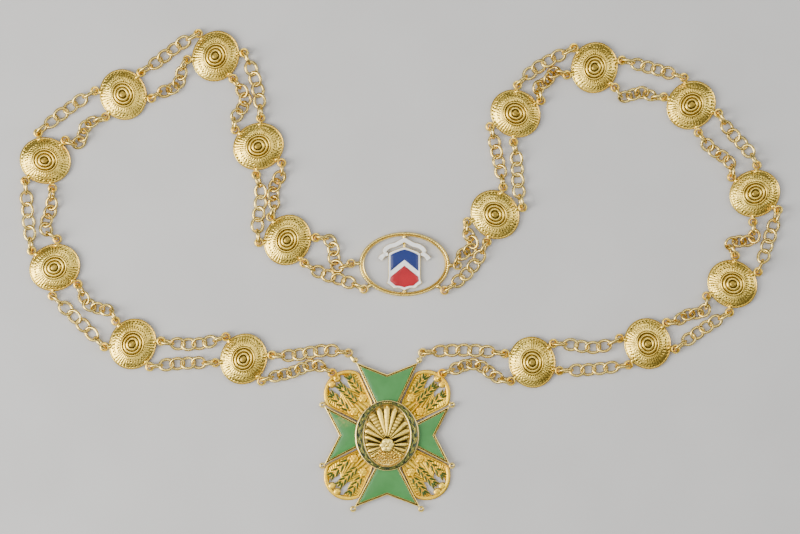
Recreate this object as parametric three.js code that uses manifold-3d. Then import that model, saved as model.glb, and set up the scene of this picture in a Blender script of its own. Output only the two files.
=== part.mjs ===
// An order collar laid flat: sixteen domed oval discs, double strands of cable chain between them,
// an oval cartouche with a shield at the back of the neck, and a four-armed cross badge in front.
// Millimetres, +Z up, resting on z = 0, with +Y towards the back of the neck.
import * as THREE from "three";
import { mergeVertices } from "three/addons/utils/BufferGeometryUtils.js";
import Module from "manifold-3d";

const wasm = await Module();
wasm.setup();

// Driving dimensions
const GAP = 0.25; // room between two pieces that touch on the real collar
const DISC = { along: 11.65, across: 12.9, sides: 18, eyeReach: 14.25, eyeSpread: 29.5 };
const EYE = { outer: 2.2, hole: 1.2, low: 1.7, high: 2.7, neckHalf: 0.9 };
const STRAND = { width: 6, height: 3.2, low: 0.1, sides: 8, step: 12, bendStep: 4 };

// Colours, with roughness and metalness
const gilt = new THREE.MeshStandardMaterial({ color: 0xd2b873, roughness: 0.32, metalness: 1 });
const deepGilt = new THREE.MeshStandardMaterial({ color: 0xd2a63a, roughness: 0.34, metalness: 1 });
const greenEnamel = new THREE.MeshStandardMaterial({ color: 0x5fa468, roughness: 0.25 });
const whiteEnamel = new THREE.MeshStandardMaterial({ color: 0xf2f1ea, roughness: 0.25 });
const redEnamel = new THREE.MeshStandardMaterial({ color: 0xc8283c, roughness: 0.25 });
const blueEnamel = new THREE.MeshStandardMaterial({ color: 0x284696, roughness: 0.25 });

// The discs in order round the loop, from the cartouche past the badge and back. heading is the way the
// chain runs through the disc, in degrees from +X.
const DISCS = [
  { name: "disc_L1", x: -56.6, y: 15.3, heading: 155.5 },
  { name: "disc_L2", x: -71.1, y: 62.15, heading: 115 },
  { name: "disc_L3", x: -92.5, y: 107.3, heading: 157.3 },
  { name: "disc_L4", x: -138.75, y: 88.05, heading: 202 },
  { name: "disc_L5", x: -177.75, y: 55.05, heading: 255 },
  { name: "disc_L6", x: -173, y: 1.55, heading: 294.6 },
  { name: "disc_L7", x: -134, y: -36.7, heading: 336.3 },
  { name: "disc_L8", x: -78.5, y: -44.2, heading: 338.3 },
  { name: "disc_R8", x: 65.85, y: -45.85, heading: 12 },
  { name: "disc_R7", x: 123.6, y: -36.55, heading: 18.6 },
  { name: "disc_R6", x: 166, y: -6.7, heading: 54.7 },
  { name: "disc_R5", x: 177.25, y: 38.55, heading: 115.4 },
  { name: "disc_R4", x: 145.4, y: 82.8, heading: 134 },
  { name: "disc_R3", x: 97, y: 101.55, heading: 165.5 },
  { name: "disc_R2", x: 57.5, y: 78.55, heading: 236.5 },
  { name: "disc_R1", x: 47.25, y: 28.05, heading: 224 },
];
const CARTOUCHE = {
  x: 1.95, y: 3.2, outer: [22.7, 16.1], inner: [20.2, 14], height: 2.4, sides: 28,
  eyes: { leftHigh: [-26.7, 0.4], leftLow: [-20.3, -12.5], rightHigh: [26.5, -0.6], rightLow: [20.1, -13.1] },
};
const BADGE = {
  x: -6.7, y: -82.35,
  lobes: { low: 0, high: 1.3, rimHigh: 1.7 },
  cross: { low: 1.55, floor: 2.15, high: 3.2, wall: 0.6 },
  enamelHigh: 2.95,
  medallion: { low: 3.45, rim: [16.15, 17.65], field: [11.6, 15.5] },
  eyes: { tipLeft: [-19.4, 41.1], tipRight: [17.7, 41.3], lobeLeft: [-27.5, 31.1], lobeRight: [27.6, 31] },
};

// The strands in the same order. inner lies inside the loop. bow and sway are how far it swings to its left
// of the straight line, in one arch and in an S.
const STRANDS = [
  { name: "chain_C_L1", outer: { bow: 0.8, sway: 4 }, inner: { bow: 0.7, sway: -0.6 } },
  { name: "chain_L1_L2", outer: { bow: 0.4, sway: 0 }, inner: { bow: -1, sway: 1.2 } },
  { name: "chain_L2_L3", outer: { bow: -2.2, sway: 0 }, inner: { bow: -4.3, sway: 1.8 } },
  { name: "chain_L3_L4", outer: { bow: -0.3, sway: -0.4 }, inner: { bow: 4, sway: 0 } },
  { name: "chain_L4_L5", outer: { bow: -0.8, sway: 0 }, inner: { bow: 1, sway: -2.6 } },
  { name: "chain_L5_L6", outer: { bow: -0.3, sway: 0 }, inner: { bow: -3.6, sway: 2.2 } },
  { name: "chain_L6_L7", outer: { bow: 0.3, sway: 0 }, inner: { bow: -2, sway: -1.8 } },
  { name: "chain_L7_L8", outer: { bow: 0.7, sway: 0 }, inner: { bow: -2.7, sway: 0 } },
  { name: "chain_L8_B", outer: { bow: 4, sway: -1.6 }, inner: { bow: 0.8, sway: -1 } },
  { name: "chain_B_R8", outer: { bow: 5.2, sway: 1.2 }, inner: { bow: 1.5, sway: 0 } },
  { name: "chain_R8_R7", outer: { bow: -0.7, sway: 0 }, inner: { bow: -3.2, sway: 1 } },
  { name: "chain_R7_R6", outer: { bow: 0.5, sway: 0 }, inner: { bow: -4.2, sway: 1.6 } },
  { name: "chain_R6_R5", outer: { bow: -0.3, sway: 0 }, inner: { bow: -0.6, sway: 4 } },
  { name: "chain_R5_R4", outer: { bow: 0, sway: -0.8 }, inner: { bow: -2, sway: -1.8 } },
  { name: "chain_R4_R3", outer: { bow: -0.2, sway: 0 }, inner: { bow: 1.6, sway: -1.4 } },
  { name: "chain_R3_R2", outer: { bow: -1.8, sway: 0.3 }, inner: { bow: -6.4, sway: 0 } },
  { name: "chain_R2_R1", outer: { bow: 0.6, sway: 0 }, inner: { bow: -0.2, sway: 0.5 } },
  { name: "chain_R1_C", outer: { bow: 3.5, sway: 0.3 }, inner: { bow: 2.9, sway: 0 } },
];

const radians = THREE.MathUtils.degToRad;
const vec2 = (points) => points.map(([x, y]) => new THREE.Vector2(x, y));

// Turns a closed geometry into a solid. Only its positions count, and corners in one place are one corner.
function solid(geometry) {
  const bare = geometry.clone();
  bare.deleteAttribute("normal");
  bare.deleteAttribute("uv");
  const merged = mergeVertices(bare, 1e-4);
  return new wasm.Manifold(
    new wasm.Mesh({
      numProp: 3,
      vertProperties: merged.attributes.position.array,
      triVerts: new Uint32Array(merged.index.array),
    }),
  );
}

const join = (solids) => solids.reduce((whole, next) => whole.add(next));

function mesh(name, body, material) {
  const { vertProperties, triVerts } = body.getMesh();
  const geometry = new THREE.BufferGeometry();
  geometry.setAttribute("position", new THREE.BufferAttribute(vertProperties, 3));
  geometry.setIndex(new THREE.BufferAttribute(triVerts, 1));
  geometry.computeVertexNormals();
  const made = new THREE.Mesh(geometry, material);
  made.name = name;
  return made;
}

// A flat piece of a given outline, with holes, from z low to z high.
function plate(outline, low, high, holes = []) {
  const shape = outline instanceof THREE.Shape ? outline : new THREE.Shape(vec2(outline));
  shape.holes = holes.map((hole) => new THREE.Path(vec2(hole)));
  const options = { depth: high - low, bevelEnabled: false, curveSegments: 5 };
  return solid(new THREE.ExtrudeGeometry(shape, options).translate(0, 0, low));
}

// A body of stacked ovals: each row is half its length in X, half its length in Y, and its height.
function ovals(rows, sides) {
  const profile = rows.map(([halfX, , z]) => new THREE.Vector2(halfX, z));
  const geometry = new THREE.LatheGeometry(profile, sides).rotateX(Math.PI / 2);
  const place = geometry.attributes.position;
  for (let i = 0; i < place.count; i += 1) {
    const [halfX, halfY] = rows[i % rows.length];
    if (halfX > 0) place.setY(i, (place.getY(i) * halfY) / halfX);
  }
  return solid(geometry);
}

// A flat soldered eye: a ring whose outline runs on into a neck, towards the piece that carries it.
function eye([x, y], [towardsX, towardsY], neck) {
  const arc = [45, 90, 135, 180, 225, 270, 315].map((turn) => [
    EYE.outer * Math.cos(radians(turn)),
    EYE.outer * Math.sin(radians(turn)),
  ]);
  const end = EYE.outer + neck;
  const hole = [0, 60, 120, 180, 240, 300].map((turn) => [
    EYE.hole * Math.cos(radians(turn)),
    EYE.hole * Math.sin(radians(turn)),
  ]);
  const flat = plate([...arc, [end, -EYE.neckHalf], [end, EYE.neckHalf]], EYE.low, EYE.high, [hole]);
  const direction = THREE.MathUtils.radToDeg(Math.atan2(towardsY - y, towardsX - x));
  return flat.rotate([0, 0, direction]).translate([x, y, 0]);
}

// Where a disc's eye stands: way is 1 at the end the chain leaves by and -1 where it arrives, and
// side is 1 on the left of the heading and -1 on the right.
function eyePlace(disc, way, side) {
  const turn = radians(disc.heading + (way > 0 ? 0 : 180) + way * side * DISC.eyeSpread);
  return [disc.x + DISC.eyeReach * Math.cos(turn), disc.y + DISC.eyeReach * Math.sin(turn)];
}

// A disc is two shallow pressed shells, thin at the rim, with a stepped oval boss on top.
function discBody(disc) {
  const rows = [
    [0, 0], [0.62, 0], [1, 1.5], [1, 2.2], [0.5, 4.2], [0.43, 5], [0.2, 6], [0, 6.1],
  ].map(([share, z]) => [DISC.along * share, DISC.across * share, z]);
  const body = ovals(rows, DISC.sides).rotate([0, 0, disc.heading]).translate([disc.x, disc.y, 0]);
  const eyes = [[1, 1], [1, -1], [-1, 1], [-1, -1]].map(([way, side]) =>
    eye(eyePlace(disc, way, side), [disc.x, disc.y], 1),
  );
  return join([body, ...eyes]);
}

// The line of a strand between two eyes: a straight line with an arch and an S added sideways.
class StrandLine extends THREE.Curve {
  constructor(from, to, { bow, sway }, z) {
    super();
    Object.assign(this, { from, to, bow, sway, z });
  }
  getPoint(t) {
    const [fromX, fromY] = this.from;
    const spanX = this.to[0] - fromX;
    const spanY = this.to[1] - fromY;
    const span = Math.hypot(spanX, spanY);
    const aside = this.bow * Math.sin(Math.PI * t) + this.sway * Math.sin(2 * Math.PI * t);
    return new THREE.Vector3(
      fromX + spanX * t - (spanY / span) * aside,
      fromY + spanY * t + (spanX / span) * aside,
      this.z,
    );
  }
}

// The middle stretch of a line, short of both ends by the same distance.
class Stretch extends THREE.Curve {
  constructor(line, short) {
    super();
    Object.assign(this, { line, start: short / line.getLength() });
  }
  getPoint(t) {
    return this.line.getPointAt(this.start + t * (1 - 2 * this.start));
  }
}

// A cable chain stood for by one bar of its outer form, oval in section, from eye to eye. It takes a step
// for every stretch of its length, and one more for every few millimetres that it swings aside.
function chainBar(from, to, bend) {
  const line = new StrandLine(from, to, bend, STRAND.low + STRAND.height / 2);
  const section = Array.from({ length: STRAND.sides }, (_, i) => {
    const turn = (2 * Math.PI * (i + 0.5)) / STRAND.sides;
    return [(Math.cos(turn) * STRAND.height) / 2, (Math.sin(turn) * STRAND.width) / 2];
  });
  const swing = Math.abs(bend.bow) + Math.abs(bend.sway);
  const steps = Math.round(line.getLength() / STRAND.step + swing / STRAND.bendStep);
  const options = { steps, extrudePath: new Stretch(line, EYE.outer + 0.3) };
  return solid(new THREE.ExtrudeGeometry(new THREE.Shape(vec2(section)), options));
}

// The cartouche: an oval double rim, its four eyes, and two small lugs that hold the shield plate.
function cartoucheFrame() {
  const { outer: [outX, outY], inner: [inX, inY], height, sides } = CARTOUCHE;
  const at = (share, z) => [inX + (outX - inX) * share, inY + (outY - inY) * share, z];
  const section = [[0.1, 0], [0.9, 0], [1, 0.8], [0.75, 1], [0.5, 0.75], [0.25, 1], [0, 0.8]];
  const rows = [...section, section[0]].map(([share, z]) => at(share, z * height));
  const eyes = Object.values(CARTOUCHE.eyes).map((place) => eye(place, [place[0] * 0.5, place[1] * 0.5], 2.4));
  const lug = (y) => solid(new THREE.BoxGeometry(3, 3, 0.7).translate(0, y, 0.45));
  return join([ovals(rows, sides), ...eyes, lug(inY - 0.9), lug(0.9 - inY)]);
}

const SHIELD = {
  low: 1.05, high: 1.85, fieldLow: 1.95, fieldHigh: 2.35,
  outline: [
    [0, 8.7], [-4, 7.2], [-8.05, 5.3], [-8.05, -6.5], [-9, -9.5], [-7.2, -10.6], [-5.2, -12.2], [-2.5, -12.2],
    [0, -13.3], [2.5, -12.2], [5.2, -12.2], [7.2, -10.6], [9, -9.5], [8.05, -6.5], [8.05, 5.3], [4, 7.2],
  ],
  blue: [[0, 7.3], [-3.6, 6.1], [-6.9, 4.5], [-6.9, -3.4], [0, 2.2], [6.9, -3.4], [6.9, 4.5], [3.6, 6.1]],
  red: [[-6.9, -6.3], [-7.4, -8.4], [-4.4, -10.8], [0, -11.4], [4.4, -10.8], [7.4, -8.4], [6.9, -6.3], [0, -0.7]],
};

// The white ribbon over the shield: an arched band whose two ends fold down to tails.
function ribbonOutline() {
  const band = new THREE.Shape();
  band.moveTo(-9.8, 9.3);
  band.quadraticCurveTo(-4, 11.4, 0, 13);
  band.quadraticCurveTo(4, 11.4, 9.8, 9.1);
  [[12.8, 4.2], [12, 1.2], [9.4, 2.6], [8.6, 7], [0, 9.6], [-8.6, 7.2], [-9.4, 2.8], [-11.6, 1.4], [-12.4, 4.4]]
    .forEach(([x, y]) => band.lineTo(x, y));
  return band;
}

function shieldPlate() {
  const shield = plate(SHIELD.outline, SHIELD.low, SHIELD.high);
  const ribbon = plate(ribbonOutline(), SHIELD.low, SHIELD.high + 0.35);
  const tie = solid(new THREE.BoxGeometry(4, 4, SHIELD.high - SHIELD.low).translate(0, 9, (SHIELD.low + SHIELD.high) / 2));
  return join([shield, ribbon, tie]);
}

// The cross. Each arm runs from its foot under the medallion to two tips, with a notch between them.
const ARMS = [
  { turn: 90, foot: [17.6, 6.9], tip: [36.5, 15.6], notch: 30.4, balls: false },
  { turn: 180, foot: [15.8, 6.7], tip: [31.6, 14.8], notch: 24.1, balls: true },
  { turn: 270, foot: [17.6, 6.9], tip: [36.1, 16.6], notch: 29.9, balls: true },
  { turn: 0, foot: [15.8, 6.7], tip: [31.6, 14.8], notch: 24.1, balls: true },
];
const BALL = { radius: 1.45, beyond: 0.9 };

// The outline of all four arms, with every edge moved in by inset.
function crossOutline(inset) {
  return ARMS.flatMap(({ turn, foot, tip, notch }) => {
    const tipAngle = Math.atan2(tip[1] - foot[1], tip[0] - foot[0]);
    const notchAngle = Math.atan2(tip[1], tip[0] - notch);
    const reach = inset / Math.sin((notchAngle - tipAngle) / 2);
    const middle = (notchAngle + tipAngle) / 2;
    const corners = [
      [foot[0], -foot[1] + inset / Math.cos(tipAngle)],
      [tip[0] - reach * Math.cos(middle), -tip[1] + reach * Math.sin(middle)],
      [notch - inset / Math.sin(notchAngle), 0],
      [tip[0] - reach * Math.cos(middle), tip[1] - reach * Math.sin(middle)],
      [foot[0], foot[1] - inset / Math.cos(tipAngle)],
    ];
    const [c, s] = [Math.cos(radians(turn)), Math.sin(radians(turn))];
    return corners.map(([x, y]) => [x * c - y * s, x * s + y * c]);
  });
}

function badgeCross() {
  const { low, floor, high, wall } = BADGE.cross;
  const tray = plate(crossOutline(0), low, high).subtract(plate(crossOutline(wall), floor, high + 1));
  const balls = ARMS.filter(({ balls }) => balls).flatMap(({ turn, tip, foot }) =>
    [1, -1].map((side) => {
      const angle = Math.atan2(tip[1] - foot[1], tip[0] - foot[0]);
      const x = tip[0] + BALL.beyond * Math.cos(angle);
      const y = side * (tip[1] + BALL.beyond * Math.sin(angle));
      const ball = new THREE.SphereGeometry(BALL.radius, 8, 4).rotateX(Math.PI / 2);
      return solid(ball.translate(x, y, (low + high) / 2).rotateZ(radians(turn)));
    }),
  );
  const { tip: [reach, half] } = ARMS[0];
  const eyes = [
    eye(BADGE.eyes.tipLeft, [-half, reach], 4.2),
    eye(BADGE.eyes.tipRight, [half, reach], 3.4),
  ];
  return join([tray, ...balls, ...eyes]);
}

const badgeEnamel = () =>
  plate(crossOutline(BADGE.cross.wall + GAP), BADGE.cross.floor + GAP, BADGE.enamelHigh);

// A lobe between two arms, in the quarter where x and y are positive: its outline, the pierced opening
// behind the scrolls at its corner, its rosettes and its laurel sprigs.
const LOBE = {
  corner: { x: 19.7, y: 20.6, radius: 12 },
  opening: [
    [23.5, 29.9], [21.8, 29.9], [19.6, 27.9], [20.5, 26.9], [21.3, 25.4], [17.8, 22.4], [20.5, 23.9], [23, 24.7],
    [24.3, 24.9], [23.3, 22.2], [24.6, 21.7], [24, 18.9], [25.8, 21.2], [26.6, 20.2], [28.6, 21.7], [29.3, 24.2],
    [27.8, 24.2], [26.1, 25.2], [27.1, 26.7], [27.6, 27.4], [26.3, 28.7], [25.6, 27.9], [25.1, 26.9], [23.8, 26.9],
    [23.1, 28.2],
  ],
  rosettes: [{ x: 12, y: 18.6, radius: 2.3 }, { x: 16.4, y: 11.8, radius: 2.3 }],
  sprigs: [
    { from: [13.2, 22.4], to: [18.6, 28.6], pairs: 2 },
    { from: [15.6, 16.4], to: [23.2, 23.6], pairs: 2 },
    { from: [20.4, 12.6], to: [27.4, 19], pairs: 2 },
  ],
};
const LEAF = { length: 2.5, width: 0.95, high: 0.55, spread: 28 };

function lobeOutline() {
  const { x, y, radius } = LOBE.corner;
  const outline = new THREE.Shape();
  outline.moveTo(7.6, 17.4);
  outline.lineTo(13.8, 30.6);
  outline.quadraticCurveTo(15.6, y + radius, x, y + radius);
  outline.absarc(x, y, radius, Math.PI / 2, 0, true);
  outline.quadraticCurveTo(x + radius, 15.6, 29.4, 14.3);
  outline.lineTo(15.4, 7.4);
  outline.lineTo(6, 6);
  return outline;
}

// A leaf is a low pointed ridge with a diamond foot, sunk a little into the plate that carries it.
function leaf([x, y], direction) {
  const shape = new THREE.ConeGeometry(1, 1, 4).rotateX(Math.PI / 2);
  shape.scale(LEAF.length / 2, LEAF.width / 2, LEAF.high + 0.2).translate(LEAF.length / 2, 0, 0);
  shape.rotateZ(direction).translate(x, y, BADGE.lobes.high + LEAF.high / 2);
  return solid(shape);
}

function sprig({ from, to, pairs }) {
  const along = Math.atan2(to[1] - from[1], to[0] - from[0]);
  return Array.from({ length: pairs }, (_, i) => {
    const share = i / pairs;
    const place = [from[0] + (to[0] - from[0]) * share, from[1] + (to[1] - from[1]) * share];
    return [1, -1].map((side) => leaf(place, along + side * radians(LEAF.spread)));
  }).flat();
}

function badgeQuadrants() {
  const { low, high, rimHigh } = BADGE.lobes;
  const outline = plate(lobeOutline(), low, high, [LOBE.opening]);
  const rosettes = LOBE.rosettes.map(({ x, y, radius }) => {
    const rows = [[radius, radius, high - 0.2], [radius * 0.8, radius * 0.8, rimHigh], [0, 0, rimHigh + 0.2]];
    return ovals([[0, 0, high - 0.2], ...rows], 8).translate([x, y, 0]);
  });
  const sprigs = LOBE.sprigs.flatMap(sprig);
  const lobe = join([outline, ...rosettes, ...sprigs]);
  const lobes = [[1, 1], [-1, 1], [-1, -1], [1, -1]].map(([x, y]) =>
    x * y > 0 && x > 0 ? lobe : y > 0 ? lobe.mirror([1, 0, 0]) : x > 0 ? lobe.mirror([0, 1, 0]) : lobe.rotate([0, 0, 180]),
  );
  const hub = ovals([[0, 0, low], [12.5, 14, low], [12.5, 14, high], [0, 0, high]], 16);
  const eyes = ["lobeLeft", "lobeRight"].map((key) => {
    const [x, y] = BADGE.eyes[key];
    const inward = [x - Math.sign(x) * 3, y - 3.6];
    const foot = solid(new THREE.BoxGeometry(1.7, 1.7, 1.9).translate(x - Math.sign(x) * 1.7, y - 2.1, low + 1.3));
    return eye([x, y], inward, 0.8).add(foot);
  });
  return join([...lobes, hub, ...eyes]);
}

// The medallion: a rim, a wreath band, and an oval field with a fan of flutes over a round rosette.
function badgeMedallion() {
  const { low, rim, field } = BADGE.medallion;
  const [rimX, rimY] = rim;
  const [fieldX, fieldY] = field;
  const rows = [
    [0, 0, low], [rimX, rimY, low], [rimX, rimY, low + 1.3], [rimX - 0.9, rimY - 0.5, low + 1.7],
    [fieldX + 0.8, fieldY + 0.4, low + 2.3], [fieldX, fieldY, low + 2.3], [fieldX - 0.8, fieldY - 0.8, low + 1.4],
    [0, 0, low + 2],
  ];
  const body = ovals(rows, 24);
  const flutes = [-2, -1, 0, 1, 2].map((i) => {
    const flute = new THREE.ConeGeometry(1, 13, 5).scale(1.1, 1, 0.9).rotateZ(Math.PI);
    return solid(flute.translate(0, 6.6, 0).rotateZ(radians(-13 * i)).translate(0, 0, low + 2.1));
  });
  const bars = [-160, -140, -120, -60, -40, -20].map((turn) => {
    const bar = new THREE.BoxGeometry(6.5, 1, 1.4).translate(6.2, 0, low + 1.9).rotateZ(radians(turn));
    return solid(bar.translate(0, -3.4, 0));
  });
  const rosette = ovals([[0, 0, low + 1], [3.6, 3.6, low + 1], [3.6, 3.6, low + 2.6], [2, 2, low + 3.6], [0, 0, low + 3.7]], 12);
  return join([body, ...flutes, ...bars, rosette.translate([0, -4.6, 0])]);
}

// The two eyes that each station of the loop gives the strands, on the left and the right of the way round.
const cartoucheEye = (key) => [CARTOUCHE.x + CARTOUCHE.eyes[key][0], CARTOUCHE.y + CARTOUCHE.eyes[key][1]];
const badgeEye = (key) => [BADGE.x + BADGE.eyes[key][0], BADGE.y + BADGE.eyes[key][1]];
const discStation = (disc) => ({
  arrive: { inner: eyePlace(disc, -1, 1), outer: eyePlace(disc, -1, -1) },
  leave: { inner: eyePlace(disc, 1, 1), outer: eyePlace(disc, 1, -1) },
});
const cartoucheStation = {
  arrive: { inner: cartoucheEye("rightLow"), outer: cartoucheEye("rightHigh") },
  leave: { inner: cartoucheEye("leftLow"), outer: cartoucheEye("leftHigh") },
};
const badgeStation = {
  arrive: { inner: badgeEye("tipLeft"), outer: badgeEye("lobeLeft") },
  leave: { inner: badgeEye("tipRight"), outer: badgeEye("lobeRight") },
};
const stations = DISCS.map(discStation);
stations.splice(8, 0, badgeStation);
stations.unshift(cartoucheStation);
stations.push(cartoucheStation);

// The eye place that eyePlace gives for side 1 at the arriving end lies left of the heading there too.
const strands = STRANDS.flatMap((strand, i) =>
  ["inner", "outer"].map((side) => {
    const bar = chainBar(stations[i].leave[side], stations[i + 1].arrive[side], strand[side]);
    return mesh(`${strand.name}_${side}`, bar, gilt);
  }),
);

const cartouche = new THREE.Group().add(
  mesh("cartouche_frame", cartoucheFrame(), gilt),
  mesh("shield_plate", shieldPlate(), whiteEnamel),
  mesh("shield_blue", plate(SHIELD.blue, SHIELD.fieldLow, SHIELD.fieldHigh), blueEnamel),
  mesh("shield_red", plate(SHIELD.red, SHIELD.fieldLow, SHIELD.fieldHigh), redEnamel),
);
cartouche.position.set(CARTOUCHE.x, CARTOUCHE.y, 0);

const badge = new THREE.Group().add(
  mesh("badge_quadrants", badgeQuadrants(), deepGilt),
  mesh("badge_cross", badgeCross(), gilt),
  mesh("badge_enamel", badgeEnamel(), greenEnamel),
  mesh("badge_medallion", badgeMedallion(), gilt),
);
badge.position.set(BADGE.x, BADGE.y, 0);

// The origin is the middle of the collar's own length and breadth, on the surface that it lies on.
const collar = new THREE.Group().add(
  ...DISCS.map((disc) => mesh(disc.name, discBody(disc), gilt)),
  ...strands,
  cartouche,
  badge,
);
const middle = new THREE.Box3().setFromObject(collar, true).getCenter(new THREE.Vector3());
collar.position.set(-middle.x, -middle.y, 0);
const part = new THREE.Group().add(collar);

export default part;
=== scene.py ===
import bpy
import numpy as np
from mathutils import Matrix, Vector


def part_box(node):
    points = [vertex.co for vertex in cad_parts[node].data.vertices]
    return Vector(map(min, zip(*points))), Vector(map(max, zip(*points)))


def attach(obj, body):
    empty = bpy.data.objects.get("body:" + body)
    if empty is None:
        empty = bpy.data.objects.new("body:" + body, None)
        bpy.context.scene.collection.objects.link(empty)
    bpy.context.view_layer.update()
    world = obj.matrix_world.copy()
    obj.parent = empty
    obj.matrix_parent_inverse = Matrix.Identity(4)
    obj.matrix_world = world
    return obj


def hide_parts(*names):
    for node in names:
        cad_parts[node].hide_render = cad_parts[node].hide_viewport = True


# An order collar laid out flat and seen from straight above. Sizes are in millimetres until a surface
# is put into its mesh. X runs across the collar, Y up the picture, and Z stands up from the surface.

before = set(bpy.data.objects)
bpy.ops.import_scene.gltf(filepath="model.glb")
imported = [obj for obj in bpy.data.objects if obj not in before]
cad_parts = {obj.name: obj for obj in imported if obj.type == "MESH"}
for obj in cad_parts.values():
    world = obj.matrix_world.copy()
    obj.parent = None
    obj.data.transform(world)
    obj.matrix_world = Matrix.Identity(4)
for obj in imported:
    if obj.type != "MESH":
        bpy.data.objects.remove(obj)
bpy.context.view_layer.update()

MM = 0.001
TURN = 2 * np.pi

# Where the pieces of the collar lie

# disc: place of its middle x, y, and the heading of the chain through it in degrees
DISCS = {
    "L1": (-56.6, 15.3, 155.5), "L2": (-71.1, 62.15, 115), "L3": (-92.5, 107.3, 157.3),
    "L4": (-138.75, 88.05, 202), "L5": (-177.75, 55.05, 255), "L6": (-173, 1.55, 294.6),
    "L7": (-134, -36.7, 336.3), "L8": (-78.5, -44.2, 338.3), "R8": (65.85, -45.85, 12),
    "R7": (123.6, -36.55, 18.6), "R6": (166, -6.7, 54.7), "R5": (177.25, 38.55, 115.4),
    "R4": (145.4, 82.8, 134), "R3": (97, 101.55, 165.5), "R2": (57.5, 78.55, 236.5),
    "R1": (47.25, 28.05, 224),
}
# half widths of a disc along the chain and across it, how far out its eyes lie, and how many degrees
# they lie to either side of the heading
DISC_ALONG, DISC_ACROSS = 11.65, 12.9
DISC_EYE_REACH, DISC_EYE_SPREAD = 14.25, 29.5

# the cartouche's middle, its eyes as seen from there, and the half widths of its rim
CARTOUCHE = np.array([1.95, 3.2])
CARTOUCHE_EYES = {
    "leftHigh": (-26.7, 0.4), "leftLow": (-20.3, -12.5),
    "rightHigh": (26.5, -0.6), "rightLow": (20.1, -13.1),
}
RIM_OUTER, RIM_INNER = np.array([22.7, 16.1]), np.array([20.2, 14.0])

# the badge's middle, and its eyes as seen from there
BADGE = np.array([-6.7, -82.35])
BADGE_EYES = {
    "tipLeft": (-19.4, 41.1), "tipRight": (17.7, 41.3),
    "lobeLeft": (-27.5, 31.1), "lobeRight": (27.6, 31.0),
}

# strand pair between two stations, where C is the cartouche and B the badge: side swing (bow, sway)
# of the outer strand, then of the inner one
STRANDS = {
    ("C", "L1"): ((0.8, 4), (0.7, -0.6)), ("L1", "L2"): ((0.4, 0), (-1, 1.2)),
    ("L2", "L3"): ((-2.2, 0), (-4.3, 1.8)), ("L3", "L4"): ((-0.3, -0.4), (4, 0)),
    ("L4", "L5"): ((-0.8, 0), (1, -2.6)), ("L5", "L6"): ((-0.3, 0), (-3.6, 2.2)),
    ("L6", "L7"): ((0.3, 0), (-2, -1.8)), ("L7", "L8"): ((0.7, 0), (-2.7, 0)),
    ("L8", "B"): ((4, -1.6), (0.8, -1)), ("B", "R8"): ((5.2, 1.2), (1.5, 0)),
    ("R8", "R7"): ((-0.7, 0), (-3.2, 1)), ("R7", "R6"): ((0.5, 0), (-4.2, 1.6)),
    ("R6", "R5"): ((-0.3, 0), (-0.6, 4)), ("R5", "R4"): ((0, -0.8), (-2, -1.8)),
    ("R4", "R3"): ((-0.2, 0), (1.6, -1.4)), ("R3", "R2"): ((-1.8, 0.3), (-6.4, 0)),
    ("R2", "R1"): ((0.6, 0), (-0.2, 0.5)), ("R1", "C"): ((3.5, 0.3), (2.9, 0)),
}
# links in the inner strand and in the outer one
LINKS_TO_BADGE, LINKS_ELSEWHERE = (7, 8), (6, 6)

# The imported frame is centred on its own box, so the tables' places are moved to where disc L8 lies in it.
low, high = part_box("disc_L8")
SHIFT = np.array([(low[i] + high[i]) / 2 / MM - DISCS["L8"][i] for i in (0, 1)] + [0.0])

# Closed surfaces on a grid


def closed_part(points, faces, patina_and_shade, green):
    """Points of one or more like copies, with faces turned outwards: where the sum of the corner
    products, which is six times the volume, comes out negative, every face is read backwards."""
    solid_sum = sum(
        np.einsum("ij,ij->i", points[f[:, 0]], np.cross(points[f[:, k]], points[f[:, k + 1]])).sum()
        for f in faces if len(f) for k in range(1, f.shape[1] - 1)
    )
    if solid_sum < 0:
        faces = [f[:, ::-1] for f in faces]
    return points, faces, patina_and_shade, green


def spread_value(value, copies, rows, around):
    """A value at every point of a grid. A plain list gives one for each row."""
    value = np.asarray(value, float)
    return np.broadcast_to(value[:, None] if value.ndim == 1 else value, (copies, rows, around))


def ring_faces(copies, rows, around, wrap_rows, points_each):
    """Four-sided faces between neighbouring rows of rings, the last point of a ring joined to its first."""
    row, step = np.meshgrid(np.arange(rows if wrap_rows else rows - 1), np.arange(around), indexing="ij")
    here, above, beside = row * around, (row + 1) % rows * around, (step + 1) % around
    quads = np.stack([here + step, here + beside, above + beside, above + step], -1)
    return (quads.reshape(1, -1, 4) + (np.arange(copies) * points_each)[:, None, None]).reshape(-1, 4)


def capped(rings, first=None, last=None, patina_and_shade=0.0, green=0.0):
    """Rings joined in order and closed at each end by a fan to one point, first and last, or else the
    middle of the ring there. rings is copies, rows, around, 3."""
    copies, rows, around, _ = rings.shape
    first = rings[:, 0].mean(1) if first is None else np.broadcast_to(first, (copies, 3))
    last = rings[:, -1].mean(1) if last is None else np.broadcast_to(last, (copies, 3))
    each = rows * around + 2
    points = np.concatenate([rings.reshape(copies, -1, 3), first[:, None], last[:, None]], 1).reshape(-1, 3)
    edge = np.arange(around)
    beside, top = (edge + 1) % around, (rows - 1) * around
    fans = np.concatenate([
        np.stack([beside, edge, np.full(around, each - 2)], -1),
        np.stack([edge + top, beside + top, np.full(around, each - 1)], -1),
    ])
    fans = (fans[None] + (np.arange(copies) * each)[:, None, None]).reshape(-1, 3)
    values = []
    for value in (patina_and_shade, green):
        grid = spread_value(value, copies, rows, around)
        ends = np.stack([grid[:, 0].mean(1), grid[:, -1].mean(1)], 1)
        values.append(np.concatenate([grid.reshape(copies, -1), ends], 1).ravel())
    return closed_part(points, [ring_faces(copies, rows, around, False, each), fans], *values)


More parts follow.
